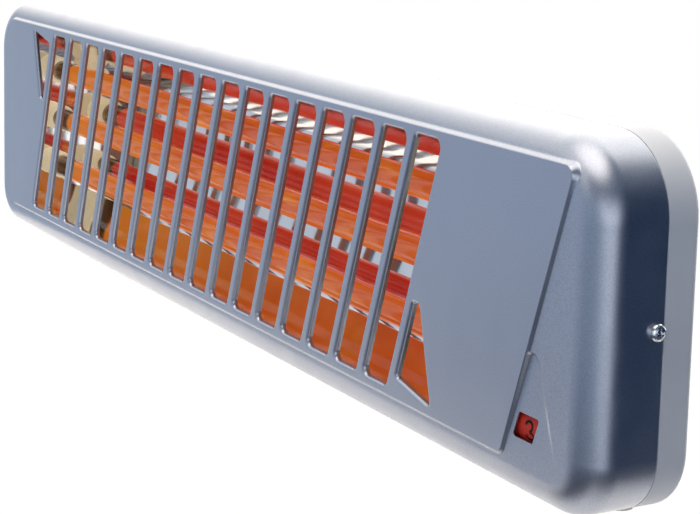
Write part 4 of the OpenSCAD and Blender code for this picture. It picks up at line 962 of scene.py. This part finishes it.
def build_floor():
    """A round floor, pale, with painted shade: darker towards the front and the right."""
    n = FLOOR_SIDES
    angles = np.linspace(0, 2 * math.pi, n + 1)[:-1]
    verts = [(r * math.cos(a), FLOOR_Y + r * math.sin(a), FLOOR_Z) for r in FLOOR_RADII for a in angles]
    faces = [tuple(range(n))]
    for k in range(len(FLOOR_RADII) - 1):
        a, b = k * n, (k + 1) * n
        faces += [(a + i, a + (i + 1) % n, b + (i + 1) % n, b + i) for i in range(n)]
    mesh = bpy.data.meshes.new("floor")
    mesh.from_pydata(verts, [], faces)
    piece = bpy.data.objects.new("floor", mesh)
    scene.collection.objects.link(piece)
    f = Finish("floor")
    x, y, _ = f.axes()
    pale = f.ramp(f.noise(6, 3), (0.3, "#F2F2F2"), (0.7, "#F6F6F6"))
    # Painted shade for the metal to mirror: a grey-blue band towards the front, and a dark patch to the front
    # right and to the right
    pale = f.mix(f.spread(y, -0.24, -0.36), pale, linear("#8592A6"))
    front_right_shade = f.maths("MULTIPLY", f.spread(x, 0.0, 0.18), f.spread(y, -0.11, -0.2))
    painted_shade = f.maths("MAXIMUM", front_right_shade, f.spread(x, 0.28, 0.44))
    f.to("Base Color", f.mix(painted_shade, pale, linear("#333D50")))
    f.set(Roughness=0.8)
    glow = f.node("ShaderNodeEmission")
    glow.inputs["Strength"].default_value = 1.0
    rays = f.node("ShaderNodeLightPath")
    seen = f.maths("MAXIMUM", rays.outputs["Is Camera Ray"], rays.outputs["Is Transmission Ray"])
    mixed = f.node("ShaderNodeMixShader")
    f.link(f.maths("MULTIPLY", seen, FLOOR_GLOW), mixed.inputs[0])
    f.link(f.shader.outputs[0], mixed.inputs[1])
    f.link(glow.outputs[0], mixed.inputs[2])
    f.link(mixed.outputs[0], f.output.inputs["Surface"])
    mesh.materials.append(f.mat)


build_floor()

world = bpy.data.worlds.new("studio")
scene.world = world
world.use_nodes = True
tree = world.node_tree
tree.nodes.clear()


def wnode(kind, **values):
    n = tree.nodes.new(kind)
    for key, value in values.items():
        setattr(n, key, value)
    return n


def wrange(value, lo, hi):
    m = wnode("ShaderNodeMapRange", interpolation_type="SMOOTHSTEP")
    m.inputs["From Min"].default_value, m.inputs["From Max"].default_value = lo, hi
    tree.links.new(value, m.inputs["Value"])
    return m.outputs[0]


def wmix(fac, a, b):
    m = wnode("ShaderNodeMix", data_type="RGBA")
    for value, socket in ((fac, m.inputs[0]), (a, m.inputs[6]), (b, m.inputs[7])):
        if isinstance(value, tuple):
            socket.default_value = value
        else:
            tree.links.new(value, socket)
    return m.outputs[2]


way = wnode("ShaderNodeTexCoord").outputs["Generated"]
split = wnode("ShaderNodeSeparateXYZ")
tree.links.new(way, split.inputs[0])
way_x, _, way_z = split.outputs


def towards(direction):
    """How nearly a ray points in a direction: 1 where it does."""
    d = wnode("ShaderNodeVectorMath", operation="DOT_PRODUCT")
    d.inputs[1].default_value = Vector(direction).normalized()
    tree.links.new(way, d.inputs[0])
    return d.outputs["Value"]


# A room that darkens from left to right, with a bright front, and a ceiling that is bright to the left
LEFT = (0.54, 0.61, 0.72, 1)
ROOM = (0.53, 0.61, 0.74, 1)
MID = (0.40, 0.49, 0.60, 1)
FRONT = (1.5, 1.5, 1.55, 1)
CEILING = (1.2, 1.17, 1.12, 1)
HIGH = (0.14, 0.19, 0.26, 1)
room = wmix(wrange(way_x, -0.94, -0.84), LEFT, ROOM)
room = wmix(wrange(way_x, -0.6, -0.1), room, MID)
room = wmix(wrange(towards((0.86, -0.36, 0.35)), 0.68, 0.95), room, FRONT)
ceiling = wmix(wrange(way_x, -0.15, 0.2), CEILING, HIGH)
sky = wmix(wrange(way_z, 0.12, 0.5), room, ceiling)
# Soft lights, and a dark one last, each laid over what is there: its direction, how nearly a ray points there
# where it begins and where it is full, and its colour
LOBES = [
    ((-0.62, 0.7, 0.4), 0.46, 0.92, (2.3, 2.15, 1.95, 1)),
    ((0.03, -0.28, 0.95), 0.8, 0.97, (3.0, 2.7, 2.4, 1)),
    ((-0.9, 0.42, -0.1), 0.86, 0.98, (2.4, 2.35, 2.25, 1)),
    ((0.74, 0.66, -0.15), 0.58, 0.86, (0.01, 0.035, 0.09, 1)),
]
for direction, begins, full, colour in LOBES:
    sky = wmix(wrange(towards(direction), begins, full), sky, colour)

studio = wnode("ShaderNodeBackground")
tree.links.new(sky, studio.inputs["Color"])
white = wnode("ShaderNodeBackground")
white.inputs["Color"].default_value = (1, 1, 1, 1)
rays = wnode("ShaderNodeLightPath")
seen = wnode("ShaderNodeMath", operation="MAXIMUM")
tree.links.new(rays.outputs["Is Camera Ray"], seen.inputs[0])
tree.links.new(rays.outputs["Is Transmission Ray"], seen.inputs[1])
both = wnode("ShaderNodeMixShader")
tree.links.new(seen.outputs[0], both.inputs[0])
tree.links.new(studio.outputs[0], both.inputs[1])
tree.links.new(white.outputs[0], both.inputs[2])
out = wnode("ShaderNodeOutputWorld")
tree.links.new(both.outputs[0], out.inputs["Surface"])
